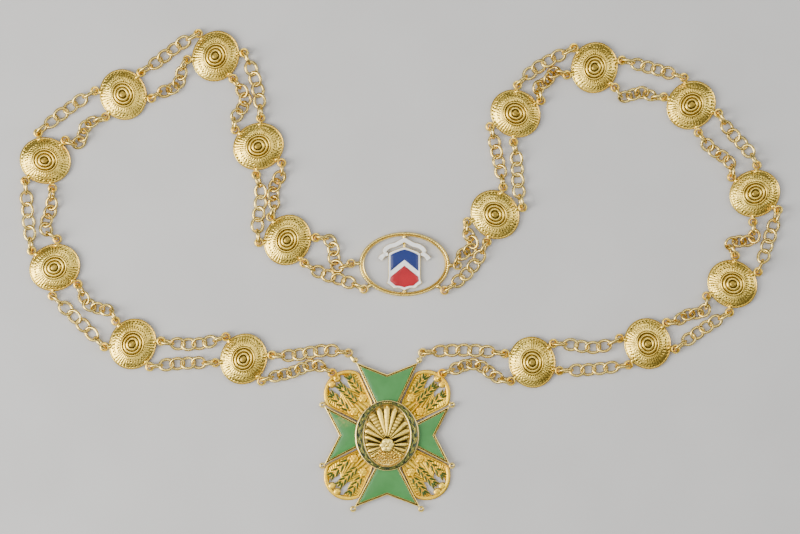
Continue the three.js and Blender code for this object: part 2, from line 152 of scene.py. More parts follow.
def looped(rings, patina_and_shade=0.0, green=0.0):
    """Rings joined in order and the last to the first, as on a torus. rings is copies, rows, around, 3."""
    copies, rows, around, _ = rings.shape
    values = [spread_value(value, copies, rows, around).ravel() for value in (patina_and_shade, green)]
    faces = ring_faces(copies, rows, around, True, rows * around)
    return closed_part(rings.reshape(-1, 3), [faces], *values)


def moved(part, x=0.0, y=0.0, turn=0.0, mirror=(1, 1)):
    """The part mirrored, turned about Z by turn degrees, then moved. Where it is mirrored one way only,
    its faces are read backwards."""
    points, faces, patina_and_shade, green = part
    c, s = np.cos(np.radians(turn)), np.sin(np.radians(turn))
    px, py = points[:, 0] * mirror[0], points[:, 1] * mirror[1]
    points = np.stack([px * c - py * s + x, px * s + py * c + y, points[:, 2]], 1)
    if mirror[0] * mirror[1] < 0:
        faces = [f[:, ::-1] for f in faces]
    return points, faces, patina_and_shade, green


def placed(parts, middle):
    """Parts made about the middle of the cartouche or the badge, moved to where that middle lies."""
    return [moved(part, *middle) for part in parts]


def piece(name, parts, finish, replaces=(), sharp=48):
    """One Blender object of all these parts, in the collar's own place, smooth except at edges sharper
    than sharp degrees."""
    points = (np.concatenate([p[0] for p in parts]) + SHIFT) * MM
    starts = np.cumsum([0] + [len(p[0]) for p in parts[:-1]])
    faces = [f + start for p, start in zip(parts, starts) for f in p[1] if len(f)]
    corners = np.concatenate([f.ravel() for f in faces])
    sizes = np.concatenate([np.full(len(f), f.shape[1]) for f in faces])
    mesh = bpy.data.meshes.new(name)
    mesh.vertices.add(len(points))
    mesh.vertices.foreach_set("co", points.astype(np.float32).ravel())
    mesh.loops.add(len(corners))
    mesh.loops.foreach_set("vertex_index", corners.astype(np.int32))
    mesh.polygons.add(len(sizes))
    mesh.polygons.foreach_set("loop_start", (np.cumsum(sizes) - sizes).astype(np.int32))
    mesh.polygons.foreach_set("use_smooth", np.ones(len(sizes), bool))
    mesh.update(calc_edges=True)
    mesh.validate()
    mesh.set_sharp_from_angle(angle=np.radians(sharp))
    for label, place in (("patina_and_shade", 2), ("green", 3)):
        value = mesh.attributes.new(label, "FLOAT", "POINT")
        value.data.foreach_set("value", np.concatenate([p[place] for p in parts]).astype(np.float32))
    made = bpy.data.objects.new(name, mesh)
    bpy.context.scene.collection.objects.link(made)
    mesh.materials.append(finish)
    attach(made, "root")
    if replaces:
        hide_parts(*replaces)


# Shapes that the pieces share


def even_turns(count):
    return np.arange(count) * TURN / count


def pointing(turns):
    """Arrows one long that point at each turn."""
    return np.stack([np.cos(turns), np.sin(turns)], -1)


def unit(arrows):
    """The arrows made one long."""
    return arrows / np.linalg.norm(arrows, axis=-1, keepdims=True)


def at_height(points, z):
    """Flat points with a height for all, or one for each, as their third number."""
    return np.column_stack([points, np.broadcast_to(z, len(points))])


def oval_ring(half_x, half_y, z, angles, middle=(0, 0)):
    """Rings of an oval: half_x, half_y and z are given row by row, or row by row and angle by angle."""
    half_x, half_y, z = (np.asarray(v, float) for v in (half_x, half_y, z))
    half_x, half_y, z = (v[:, None] if v.ndim == 1 else v for v in (half_x, half_y, z))
    x, y = middle[0] + half_x * np.cos(angles), middle[1] + half_y * np.sin(angles)
    return np.stack(np.broadcast_arrays(x, y, z), -1)[None]


def wire_ring(x, y, z, reach, wire, around=22, sides=7):
    """A ring of round wire lying flat: a circle of the wire's radius carried round one of radius reach."""
    side = even_turns(sides)
    out = reach + wire * np.cos(side)
    return looped(oval_ring(out, out, z + wire * np.sin(side), even_turns(around), (x, y)))


# a wire's end: how far its last section stands beyond the path, and its radius, as shares of the wire's
END_BEYOND, END_RADIUS = 0.5, 0.6


def wire_along(path, wire, sides=7, flat=1.0):
    """Wire along a path of points, its sections square to the path and its ends rounded over. flat is
    the share of its width that it is high."""
    path = np.asarray(path, float)
    wire = np.broadcast_to(np.asarray(wire, float), len(path))
    ahead = unit(np.gradient(path, axis=0))
    before = path[:1] - ahead[:1] * wire[0] * END_BEYOND
    after = path[-1:] + ahead[-1:] * wire[-1] * END_BEYOND
    path = np.concatenate([before, path, after])
    ahead = np.concatenate([ahead[:1], ahead, ahead[-1:]])
    wire = np.concatenate([wire[:1] * END_RADIUS, wire, wire[-1:] * END_RADIUS])
    left = unit(np.cross([0, 0, 1.0], ahead))
    up = np.cross(ahead, left)
    side = even_turns(sides)[:, None]
    section = np.cos(side) * left[:, None] + flat * np.sin(side) * up[:, None]
    return capped((path[:, None] + wire[:, None, None] * section)[None])


EYE_HEIGHT, EYE_REACH, EYE_WIRE = 2.2, 1.78, 0.62
NECK_START, NECK_HEIGHT, NECK_FLAT = 1.7, 2.15, 0.75
NECK_WIRE = [0.65, 0.75, 0.9, 1.05, 1.15]


def eye_ring(place, towards, neck):
    """An eye: a flat ring of wire, and a neck that widens towards the piece that carries it, longer
    by neck than the ring's own width needs."""
    place = np.asarray(place, float)
    way = unit(np.asarray(towards) - place)
    steps = np.linspace(NECK_START, 2.1 + neck, len(NECK_WIRE))[:, None]
    line = at_height(place + way * steps, NECK_HEIGHT)
    return [wire_ring(*place, EYE_HEIGHT, EYE_REACH, EYE_WIRE), wire_along(line, NECK_WIRE, flat=NECK_FLAT)]


# how deep a blade's cuts are and how dark, and how far it bulges below, as a share of its height
HATCH_DEPTH, HATCH_DARK, UNDERSIDE = 0.22, 0.9, 0.25


def blades(roots, tips, widths, height, peak=0.45, blunt=0.9, rows=7, sides=8, roof=0.8,
           green=0.0, hatch=0, edge=-1.0):
    """Pointed blades, such as leaves and flutes, one from each root to its tip. Along a blade the width
    goes as u to the power peak times one minus u to the power blunt, scaled to be one at its widest.
    Across it the top is a ridge that falls to the sides by one minus the distance to the power roof.
    Their edges are rubbed bright, or, where edge is above zero, painted dark as shade on the flanks
    under a ridge painted pale as a highlight, and hatch cuts that many shallow cosine grooves across
    them."""
    u = np.linspace(0, 1, rows + 2)[1:-1]
    most = (peak / (peak + blunt)) ** peak * (blunt / (peak + blunt)) ** blunt
    swell = (u**peak * (1 - u) ** blunt / most)[:, None]
    side = even_turns(sides)
    across, top = np.cos(side), np.sin(side) >= -1e-9
    inward = 1 - np.abs(across)
    way = unit((tips - roots)[:, :2])
    left = np.stack([-way[:, 1], way[:, 0], np.zeros(len(way))], 1)
    line = roots[:, None] + (tips - roots)[:, None] * u[:, None]
    half = np.broadcast_to(widths, len(roots))[:, None, None] / 2 * swell * across
    rings = line[:, :, None] + half[..., None] * left[:, None, None]
    groove = (0.5 - 0.5 * np.cos(TURN * hatch * u))[:, None] * (1 - across**2) * top
    lift = np.where(top, inward**roof, -UNDERSIDE * inward)
    rings[..., 2] += height * swell**0.7 * lift - HATCH_DEPTH * groove
    painted = np.where(top, green * inward**0.6, 0)
    # edge below zero pales the edges as rubbed wear; above zero it paints the flanks dark as shade and the
    # ridge pale as a highlight
    rubbed_and_shaded = np.where(top, edge * np.abs(across) ** 1.5 - 0.5 * max(edge, 0) * inward, 0)
    return capped(rings, first=roots, last=tips, green=painted[None], patina_and_shade=rubbed_and_shaded + HATCH_DARK * groove)


def dome(x, y, low, radius, height, rows):
    """A low round boss: its radius falls as the cosine and its height rises as the sine of a quarter turn."""
    rise = np.linspace(0, 0.97, rows) * np.pi / 2
    z = np.concatenate([[low], low + 0.15 + height * np.sin(rise)])
    reach = np.concatenate([[radius], radius * np.cos(rise)])
    return capped(oval_ring(reach, reach, z, even_turns(8), (x, y)))


def inset(outline, by):
    """An outline moved inwards: each corner goes by the sum of its two edges' inward normals, times the
    distance, over one plus their product. The outline runs counterclockwise."""
    after = unit(np.roll(outline, -1, 0) - outline)
    before = np.roll(after, 1, 0)
    out, back = (np.stack([-v[:, 1], v[:, 0]], 1) for v in (after, before))
    return outline + by * (out + back) / (1 + (out * back).sum(1, keepdims=True))


def crossed(a, b):
    """The cross product of flat arrows, pair by pair."""
    return a[:, 0] * b[:, 1] - a[:, 1] * b[:, 0]


def met_by_rays(outline, centre, angles):
    """The points where rays from the centre meet a closed outline that they cross once each."""
    corner = outline - centre
    turn = np.arctan2(corner[:, 1], corner[:, 0]) % TURN
    order = np.argsort(turn)
    corner, turn = corner[order], turn[order]
    edge = np.roll(corner, -1, 0) - corner
    pick = (np.searchsorted(turn, angles + 1e-9, side="right") - 1) % len(corner)
    ray = pointing(angles)
    return centre + ray * (crossed(corner[pick], edge[pick]) / crossed(ray, edge[pick]))[:, None]


def ray_angles(outlines, centre, count):
    """Even turns, and the turns at which the outlines have their corners, to a thousandth."""
    corners = [np.arctan2(*(o - centre).T[::-1]) % TURN for o in outlines]
    return np.unique(np.round(np.concatenate([even_turns(count), *corners]), 3))


def plate(rows, centre, count):
    """A plate: each row is an outline, met by rays from the centre, its height and its patina and shade
    value.
    """
    angles = ray_angles([outline for outline, _, _ in rows], centre, count)
    rings = [at_height(met_by_rays(outline, centre, angles), z) for outline, z, _ in rows]
    return capped(np.stack(rings)[None], patina_and_shade=[patina_and_shade for _, _, patina_and_shade in rows])


def edge_rows(outline, table):
    """Rows of a plate along its edge. table: inset from the outline, height, patina and shade."""
    return [(inset(outline, by), z, patina_and_shade) for by, z, patina_and_shade in table]


def crown_rows(outline, middle, table):
    """Rows of a plate further in. table: share of the way from the middle out, height, patina and shade."""
    return [(middle + (outline - middle) * share, z, patina_and_shade) for share, z, patina_and_shade in table]


# Finishes


class Finish:
    """A material under construction. Its calls make nodes, and set wires them to the shader."""

    def __init__(self, name):
        self.material = bpy.data.materials.new(name)
        self.material.use_nodes = True
        self.tree = self.material.node_tree
        self.shader = self.tree.nodes["Principled BSDF"]
        self.place = self.add("TexCoord").outputs["Object"]

    def feed(self, node, inputs):
        """Inputs linked or set. A space in an input's name is written _, and one goes before a number."""
        for key, value in inputs.items():
            name = key.replace("_", " ")
            socket = node.inputs[int(name) if name.strip().isdigit() else name]
            if isinstance(value, bpy.types.NodeSocket):
                self.tree.links.new(value, socket)
            else:
                socket.default_value = value

    def add(self, kind, settings=(), **inputs):
        node = self.tree.nodes.new("ShaderNode" + kind)
        for key, value in dict(settings).items():
            setattr(node, key, value)
        self.feed(node, inputs)
        return node

    def noise(self, size, detail=3.0, rough=0.55):
        """Noise whose features are about size millimetres across."""
        node = self.add("TexNoise", Vector=self.place, Scale=1 / (size * MM), Detail=detail, Roughness=rough)
        return node.outputs["Fac"]

    def attribute(self, name):
        return self.add("Attribute", {"attribute_name": name}).outputs["Fac"]

    def ramp(self, value, stops):
        """Colours along a value. stops is a list of place, colour."""
        node = self.add("ValToRGB", Fac=value)
        marks = node.color_ramp.elements
        while len(marks) < len(stops):
            marks.new(0.5)
        for mark, (where, colour) in zip(marks, stops):
            mark.position, mark.color = where, (*colour, 1)
        return node.outputs["Color"]

    def band(self, value, start, end, low=0.0, high=1.0):
        """The value mapped from start and end to low and high, and held there."""
        node = self.add("MapRange", Value=value, From_Min=start, From_Max=end, To_Min=low, To_Max=high)
        return node.outputs[0]

    def blend(self, share, one, other):
        """One colour where share is 0 and the other, a link or a plain colour, where it is 1."""
        other = (*other, 1) if isinstance(other, tuple) else other
        return self.add("Mix", {"data_type": "RGBA"}, _0=share, _6=one, _7=other).outputs[2]

    def times(self, one, other):
        return self.add("Math", {"operation": "MULTIPLY"}, _0=one, _1=other).outputs[0]

    def plus(self, one, other):
        return self.add("Math", {"operation": "ADD"}, _0=one, _1=other).outputs[0]

    def bump(self, height, distance, strength, under=None):
        """Relief from a noise, distance in millimetres, laid over the relief under it if there is one."""
        inputs = {"Normal": under} if under else {}
        node = self.add("Bump", Height=height, Distance=distance * MM, Strength=strength, **inputs)
        return node.outputs[0]

    def set(self, **inputs):
        self.feed(self.shader, inputs)
        return self.material


def darker(colour, share):
    return tuple(part * share for part in colour)


def gilded(f, size, bright, warm, pale, tarnish_and_shade, specks=0.4):
    """The colour of fire gilding, shared by all gilt finishes: bright gold that goes warmer in clouds of
    that size, duller in fine specks, paler where the patina and shade value is below zero, on rubbed
    edges and as painted highlights, and brown to near black where it is above zero, as patina in
    grooves and as painted shade. It comes back with the speck noise and that value."""
    cloud, speck = f.noise(size), f.noise(0.9, 4.0, 0.6)
    gold = f.ramp(cloud, [(0.32, bright), (0.68, warm)])
    gold = f.blend(f.band(speck, 0.56, 0.76, 0.0, specks), gold, darker(warm, 0.62))
    patina_and_shade_mask = f.attribute("patina_and_shade")
    # the patina and shade value pales the gold below zero, for rubbed edges and painted highlights, and above
    # zero mixes in the dark colour, for patina in grooves and painted shade
    gold = f.blend(f.band(patina_and_shade_mask, 0.0, -1.0), gold, pale)
    dark = f.band(f.times(patina_and_shade_mask, f.band(speck, 0.25, 0.7, 0.8, 1.2)), 0.0, 0.9)
    return f.blend(dark, gold, tarnish_and_shade), speck, patina_and_shade_mask


def gilt(name, bright, warm, tarnish_and_shade, smooth, worn, grain=0.35, specks=0.4):
    """Polished and worn gilding, its roughness from smooth to worn: rougher in the specks and in the
    grooves, with fine scratches and grit."""
    f = Finish(name)
    colour, speck, patina_and_shade_mask = gilded(f, 14, bright, warm, RUBBED_AND_HIGHLIGHT_GOLD, tarnish_and_shade, specks)
    rough = f.plus(f.band(speck, 0.3, 0.75, smooth, worn), f.band(patina_and_shade_mask, 0.0, 1.0, 0.0, 0.2))
    relief = f.bump(f.noise(0.28, 2.0), 0.05, grain, f.bump(speck, 0.12, grain))
    return f.set(Base_Color=colour, Metallic=1.0, Roughness=rough, Normal=relief)


def enamel(name, colour, deep, pit=0.3, worn=None, worn_at=None):
    """Glass enamel: an even colour clouded a little darker, with small pits, under a clear glossy skin.
    worn, where given, is the dull colour of a patch of ragged outline about the place worn_at."""
    f = Finish(name)
    cloud, speck = f.noise(7, 4.0), f.noise(0.8, 3.0)
    tint = f.ramp(cloud, [(0.3, deep), (0.62, colour)])
    tint = f.blend(f.band(speck, 0.62, 0.72, 0.0, pit), tint, darker(deep, 0.55))
    if worn:
        gone = f.add("VectorMath", {"operation": "DISTANCE"}, _0=f.place, _1=worn_at).outputs["Value"]
        near = f.band(gone, 1.5 * MM, 6.5 * MM, 1.0, 0.0)
        ragged = f.band(f.noise(1.6, 4.0, 0.7), 0.4, 0.62, 0.0, 0.9)
        tint = f.blend(f.times(near, ragged), tint, worn)
    relief = f.bump(f.noise(5, 2.0), 0.15, 0.3, f.bump(speck, 0.02, 0.3))
    return f.set(Base_Color=tint, Roughness=f.band(speck, 0.3, 0.8, 0.14, 0.2), Normal=relief, IOR=1.46)


def leaf_gilt(name, bright, warm, pale, tarnish_and_shade, leaf_green, edge_green):
    """Gilding with a dark green rubbed into it where the green value is high: along the middles of the
    leaves and on the floor of the wreath band. The green goes almost black where the patina and shade
    value is high, for patina and painted shade alike."""
    f = Finish(name)
    gold, speck, patina_and_shade_mask = gilded(f, 9, bright, warm, pale, tarnish_and_shade)
    paint = f.ramp(speck, [(0.35, edge_green), (0.65, leaf_green)])
    paint = f.blend(f.band(patina_and_shade_mask, 0.15, 0.5), paint, darker(edge_green, 0.3))
    share = f.band(f.times(f.attribute("green"), f.band(speck, 0.3, 0.7, 0.85, 1.15)), 0.34, 0.6)
    relief = f.bump(f.noise(0.3, 2.0), 0.05, 0.3, f.bump(speck, 0.12, 0.35))
    return f.set(Base_Color=f.blend(share, gold, paint), Metallic=f.band(share, 0.0, 1.0, 1.0, 0.3),
                 Roughness=f.band(speck, 0.3, 0.75, 0.26, 0.46), Normal=relief)


# pale gold for rubbed edges, also used as painted highlight on the disc bosses' ridges and the cartouche
# rim's top
RUBBED_AND_HIGHLIGHT_GOLD = (0.93, 0.73, 0.2)
GILT = gilt("gilt", (0.85, 0.62, 0.115), (0.75, 0.49, 0.065), (0.055, 0.03, 0.007), 0.2, 0.36)
CHAIN_GILT = gilt("chain_gilt", (0.86, 0.66, 0.20), (0.76, 0.52, 0.12), (0.08, 0.042, 0.01), 0.17, 0.32)
# its near-black dark colour paints the shadow line in the groove along each arm's edge
EDGE_GILT = gilt(
    "edge_gilt", (0.86, 0.66, 0.20), (0.78, 0.55, 0.13), (0.03, 0.018, 0.005), 0.2, 0.3,
    grain=0.08, specks=0.1)
DEEP_GILT = leaf_gilt(
    "deep_gilt", bright=(0.89, 0.60, 0.04), warm=(0.83, 0.46, 0.018), pale=(0.94, 0.77, 0.24),
    tarnish_and_shade=(0.09, 0.045, 0.006), leaf_green=(0.08, 0.15, 0.032), edge_green=(0.022, 0.048, 0.01))
# its near-black dark colour paints the shade between the flutes of the medallion's field, and darkens the
# wreath band's grooves
WREATH_GILT = leaf_gilt(
    "wreath_gilt", bright=(0.86, 0.66, 0.20), warm=(0.72, 0.50, 0.11), pale=(0.95, 0.84, 0.40),
    tarnish_and_shade=(0.014, 0.01, 0.003), leaf_green=(0.17, 0.26, 0.07), edge_green=(0.05, 0.1, 0.022))
WORN_PLACE = (np.array([*(BADGE + (-21.5, 9.5)), 3.0]) + SHIFT) * MM
GREEN = enamel(
    "green_enamel", (0.055, 0.235, 0.055), (0.045, 0.195, 0.042), 0.06, (0.34, 0.34, 0.09), WORN_PLACE)
WHITE = enamel("white_enamel", (0.93, 0.93, 0.90), (0.86, 0.85, 0.81), 0.06)
BLUE = enamel("blue_enamel", (0.006, 0.022, 0.15), (0.004, 0.015, 0.11))
RED = enamel("red_enamel", (0.42, 0.004, 0.012), (0.30, 0.003, 0.01))

# The discs

# Rows of the boss: share of the disc's half widths, height, and patina and shade. The dark values on
# its wall where it rises from the skirt, in the rings between the ridges and on the bead at the top
# are painted shade and painted dark reflections, and the pale values on the ridge crests are painted
# highlights. The first row stands on the surface, and the ridges follow each other inwards.
BOSS_ROWS = [
    (0.30, 0.05, 0), (0.47, 0.05, 0), (0.5, 0.4, 0), (0.5, 3.6, 0.6), (0.496, 4.1, 0.6), (0.484, 4.3, 0),
    (0.462, 4.37, -0.3), (0.442, 4.34, 0), (0.428, 4.14, 0.7), (0.414, 4.06, 1), (0.402, 4.18, 0.8),
    (0.388, 4.62, 0.1), (0.366, 4.88, -0.2), (0.338, 4.96, -0.3), (0.312, 4.88, 0.1), (0.298, 4.72, 0.8),
    (0.286, 4.68, 1), (0.274, 4.86, 0.8), (0.262, 5.34, 0), (0.24, 5.62, -0.3), (0.205, 5.72, -0.3),
    (0.18, 5.64, 0.2), (0.166, 5.46, 0.9), (0.157, 5.38, 1), (0.148, 5.44, 0.9), (0.138, 5.7, 0.5),
    (0.116, 5.94, 0.45), (0.088, 6.05, 0.5), (0.055, 6.09, 0.6), (0.02, 6.1, 0.6),
]
# Rows of the stamped skirt of the disc, round its section: the same three columns. The stamped face
# itself comes between the last row inside and the first one outside.
# the dark values where the skirt meets the boss are a painted ring of shade
SKIRT_INSIDE = np.array([(0.488, 1.2, 0), (0.488, 3.8, 0.7), (0.502, 3.98, 0.8), (0.516, 4.1, 0.2)])
SKIRT_OUTSIDE = np.array([
    (0.942, 2.12, 0.2), (0.956, 2.14, 0.3), (0.964, 2.3, 0), (0.976, 2.4, -0.3), (0.989, 2.34, -0.4),
    (0.999, 2.1, -0.2), (1.0, 1.75, 0), (0.985, 1.5, 0.2), (0.8, 0.7, 0.3), (0.62, 0.05, 0.2),
])
# the stamped face: shares of the half widths at which it starts and ends, rows of pits, pits in a row,
# rays round the disc, and how deep both are
FACE_START, FACE_END = 0.53, 0.935
PIT_ROWS, PITS_AROUND, RAYS_AROUND, PIT_DEPTH = 6, 37, 46, 0.36
# its slope: height where the boss ends, fall to the rim, and the power that it falls by
FACE_HIGH, FACE_FALL, FACE_POWER = 4.12, 1.96, 1.35
DISC_NECK = 1.2


def stamped_face(angles, seed):
    """The domed face between boss and rim: it falls by a power of the way gone, under rows of pits, each
    the product of a cosine round the disc and a sine across its row, shifted and of uneven depth. Where
    a slow wave round the disc is low, the pits grow faint and rays take their place."""
    rows = np.linspace(FACE_START, FACE_END, PIT_ROWS * 4 + 1)
    share = (rows - rows[0]) / (rows[-1] - rows[0]) * PIT_ROWS
    row = np.floor(share - 1e-6).clip(0)[:, None]
    across = (share[:, None] + 0.18 * np.sin(5 * angles + 2 * seed)) % 1.0
    turn = angles * PITS_AROUND + np.pi * row
    turn = turn + 1.1 * np.sin(3 * angles + seed + 2.4 * row) + 0.5 * np.sin(11 * angles + 5 * row)
    uneven = 0.55 + 0.45 * np.sin(np.floor(turn / TURN + 0.5) * 12.9 + row * 4.1 + seed * 2.3)
    pit = np.clip(np.cos(turn), 0, 1) ** 0.8 * np.sin(np.pi * across) * uneven
    slow = np.clip(0.7 + 0.7 * np.sin(3 * angles + 1.7 * seed), 0, 1)
    ray_depth = np.interp(share, [0, 1, 3, 6], [0.25, 0.5, 0.6, 0.5])[:, None]
    ray = np.clip(np.cos(angles * RAYS_AROUND), 0, 1) * (1 - slow) * ray_depth
    cut = np.clip(pit * (0.35 + 0.65 * slow) + 0.8 * ray, 0, 1)
    slope = FACE_HIGH - FACE_FALL * ((rows - 0.5) / (FACE_END - 0.5)).clip(0, 1) ** FACE_POWER
    return rows, slope[:, None] - PIT_DEPTH * cut, np.clip(2.3 * cut - 0.5, -0.25, 1)


def disc_eye(name, way, side):
    """Way is 1 at the end the chain leaves by and -1 where it arrives; side is 1 left of the heading."""
    x, y, heading = DISCS[name]
    turn = np.radians(heading + (0 if way > 0 else 180) + way * side * DISC_EYE_SPREAD)
    return x + DISC_EYE_REACH * np.cos(turn), y + DISC_EYE_REACH * np.sin(turn)


def disc_parts(name):
    """A domed oval disc: the boss of ridges, the stamped skirt with its thin rim, and four eyes."""
    x, y, heading = DISCS[name]
    share, z, patina_and_shade = np.array(BOSS_ROWS).T
    boss = capped(oval_ring(DISC_ALONG * share, DISC_ACROSS * share, z, even_turns(96)), patina_and_shade=patina_and_shade)
    turns = even_turns(PITS_AROUND * 6)
    stamped = stamped_face(turns, list(DISCS).index(name))
    share = np.concatenate([SKIRT_INSIDE[:, 0], stamped[0], SKIRT_OUTSIDE[:, 0]])
    inside, outside = (np.repeat(rows[..., None], len(turns), 2) for rows in (SKIRT_INSIDE, SKIRT_OUTSIDE))
    z, patina_and_shade = (np.concatenate([inside[:, i], stamped[i], outside[:, i]]) for i in (1, 2))
    skirt = looped(oval_ring(DISC_ALONG * share, DISC_ACROSS * share, z, turns), patina_and_shade=patina_and_shade)
    parts = [moved(part, x, y, turn=heading) for part in (boss, skirt)]
    for way in (1, -1):
        for side in (1, -1):
            parts += eye_ring(disc_eye(name, way, side), (x, y), DISC_NECK)
    return parts


for disc in DISCS:
    piece(f"stamped_disc_{disc}", disc_parts(disc), GILT, [f"disc_{disc}"])

# The cable chains

# a link: its half length, at least and at most, half width and wire radius, and its steps and sides
LINK_LONG, LINK_LONGEST, LINK_WIDE, LINK_WIRE = 3.2, 3.65, 2.82, 0.76
LINK_STEPS, LINK_SIDES = 16, 6
# how far in from its eye the middle of an end link stands, and how far it is rolled in degrees
END_STAND, END_ROLL = 3.0, 79
# roll of a link between the ends, and how much more where the links crowd, from one pitch to a lower one
LINK_ROLL, CROWDED_ROLL, CROWDED_FROM, CROWDED_RANGE = 16, 15, 5.4, 1.6
# a strand weaves where its pitch would be under this one, by so much for each millimetre, at most
SLACK_UNDER, SLACK_SWING, SLACK_MOST = 5.1, 1.3, 1.4


def station_eyes(name):
    """The eyes of a disc, the cartouche or the badge where strands arrive, inner and outer, and then
    those where they leave."""
    if name == "C":
        eyes = [CARTOUCHE + CARTOUCHE_EYES[key] for key in ("rightLow", "rightHigh", "leftLow", "leftHigh")]
    elif name == "B":
        eyes = [BADGE + BADGE_EYES[key] for key in ("tipLeft", "lobeLeft", "tipRight", "lobeRight")]
    else:
        eyes = [disc_eye(name, way, side) for way in (-1, 1) for side in (1, -1)]
    return eyes[:2], eyes[2:]


def strand_line(start, end, bow, sway, slack=0.0):
    """The strand's line: straight from eye to eye, with an arch, an S and a slack double S added
    sideways. It comes back as 200 points with the length gone at each."""
    t = np.linspace(0, 1, 200)[:, None]
    start, end = np.asarray(start, float), np.asarray(end, float)
    span = end - start
    left = np.array([-span[1], span[0]]) / np.linalg.norm(span)
    swing = bow * np.sin(np.pi * t) + sway * np.sin(TURN * t) + slack * np.sin(1.5 * TURN * t)
    line = start + span * t + left * swing
    gone = np.concatenate([[0], np.cumsum(np.linalg.norm(np.diff(line, axis=0), axis=1))])
    return line, gone


def spun(a, b, turns):
    """Two coordinates of all links turned together, each link by its own turn."""
    c, s = np.cos(turns)[:, None, None], np.sin(turns)[:, None, None]
    return a * c - b * s, a * s + b * c


def link_rings(long, places, headings, rolls, pitches):
    """Cable links, all at once: an oval of half lengths long and LINK_WIDE, with a round wire carried
    round it, rolled about its long axis, pitched, then turned to its heading and moved to its place."""
    around, sides = pointing(even_turns(LINK_STEPS)), even_turns(LINK_SIDES)
    middle, out = around * (long, LINK_WIDE), unit(around * (LINK_WIDE, long))
    x, y = np.moveaxis(middle[:, None] + LINK_WIRE * np.cos(sides)[:, None] * out[:, None], -1, 0)
    y, z = spun(y, LINK_WIRE * np.sin(sides), rolls)
    x, z = spun(x, z, pitches)
    x, y = spun(x, y, headings)
    return np.stack([x, y, z], -1) + places[:, None, None]


def strand_part(start, end, swing, count, seed):
    """A strand: the first and last link stand on edge in the eyes, and the links between lie nearly
    flat, rolled to one side and the other in turn so that each passes over and under the next."""
    line, gone = strand_line(start, end, *swing)
    pitch = (gone[-1] - 2 * END_STAND) / (count - 1)
    slack = np.clip(SLACK_UNDER - pitch, 0, SLACK_MOST) * (SLACK_SWING if seed % 4 < 2 else -SLACK_SWING)
    line, gone = strand_line(start, end, *swing, slack)
    pitch = (gone[-1] - 2 * END_STAND) / (count - 1)
    long = np.clip(pitch / 2 + LINK_WIRE - 0.1, LINK_LONG, LINK_LONGEST)
    along = END_STAND + np.arange(count) * pitch
    x, y = np.interp(along, gone, line[:, 0]), np.interp(along, gone, line[:, 1])
    slope = np.gradient(line, axis=0)
    headings = np.interp(along, gone, np.unwrap(np.arctan2(slope[:, 1], slope[:, 0])))
    spare = np.random.default_rng(seed)
    crowded = np.clip((CROWDED_FROM - pitch) / CROWDED_RANGE, 0, 1)
    sign = np.where(np.arange(count) % 2 == 0, 1, -1) * (1 if seed % 2 else -1)
    rolls = np.radians(sign * (LINK_ROLL + CROWDED_ROLL * crowded) + spare.uniform(-4, 4, count))
    ends, next_to_ends = [0, -1], [1, -2]
    rolls[ends] = np.radians(sign[ends] * END_ROLL + spare.uniform(-4, 4, 2))
    z = LINK_WIRE + 0.02 + LINK_WIDE * np.abs(np.sin(rolls))
    pitches = np.zeros(count)
    pitches[next_to_ends] = np.radians([-5.0, 5.0])
    z[next_to_ends] += 0.3
    headings = headings + np.radians(spare.uniform(-3, 3, count))
    return looped(link_rings(long, np.stack([x, y, z], 1), headings, rolls, pitches))


for seed, ((left, right), (outer, inner)) in enumerate(STRANDS.items()):
    starts, ends = station_eyes(left)[1], station_eyes(right)[0]
    counts = LINKS_TO_BADGE if "B" in (left, right) else LINKS_ELSEWHERE
    for i, (side, swing) in enumerate((("inner", inner), ("outer", outer))):
        part = strand_part(starts[i], ends[i], swing, counts[i], 2 * seed + i)
        name = f"{left}_{right}_{side}"
        piece(f"links_{name}", [part], CHAIN_GILT, [f"chain_{name}"], sharp=80)

# The cartouche

# Section of the rim, round it: share from the inner edge to the outer one, height, patina and shade,
# and the share of the milling that the row carries. The pale values over the top of the milled outer
# wire are a painted highlight.
RIM_ROWS = [
    (0.08, 0.05, 0, 0), (0.0, 0.5, 0, 0), (-0.02, 1.4, 0, 0), (0.02, 1.95, -0.2, 0), (0.1, 2.22, -0.5, 0),
    (0.2, 2.2, -0.3, 0), (0.27, 2.0, 0, 0), (0.32, 1.75, 0.35, 0), (0.37, 1.74, 0.35, 0),
    (0.41, 2.0, 0.1, 0.3), (0.48, 2.25, -0.2, 0.8), (0.6, 2.42, -0.4, 1), (0.74, 2.44, -0.5, 1),
    (0.87, 2.28, -0.5, 1), (0.96, 1.85, -0.3, 0.9), (1.0, 1.2, 0, 0.4), (1.0, 0.5, 0, 0), (0.92, 0.05, 0, 0),
]
MILLING, MILLING_DEPTH, MILLING_SLANT = 96, 0.06, 5.0
# a post from the shield to the rim: how far out, height, and wire there
POST = [(12.4, 1.1, 0.8), (13.4, 1.2, 1.0), (14.4, 1.3, 1.1)]


def rim_part():
    """The cartouche's rim: a plain inner wire and a stouter milled outer one with a groove between,
    the milling a cosine round the rim that slants across it."""
    turns = even_turns(MILLING * 5)
    share, z, patina_and_shade, milled = np.array(RIM_ROWS).T[..., None]
    half_x, half_y = (RIM_INNER + (RIM_OUTER - RIM_INNER) * share).T
    wave = np.cos(turns * MILLING + MILLING_SLANT * share) * milled
    dark = np.clip(patina_and_shade + 0.25 * np.clip(-wave, 0, 1), -1, 1)
    return looped(oval_ring(half_x, half_y, z + MILLING_DEPTH * wave, turns), patina_and_shade=dark)


rim = [rim_part()]
for place in CARTOUCHE_EYES.values():
    rim += eye_ring(place, (0, 0), 2.0)
for way in (1, -1):
    rim.append(wire_along([(0, way * y, z) for y, z, _ in POST], [wire for _, _, wire in POST], flat=0.7))
piece("cartouche_rim", placed(rim, CARTOUCHE), CHAIN_GILT, ["cartouche_frame"])


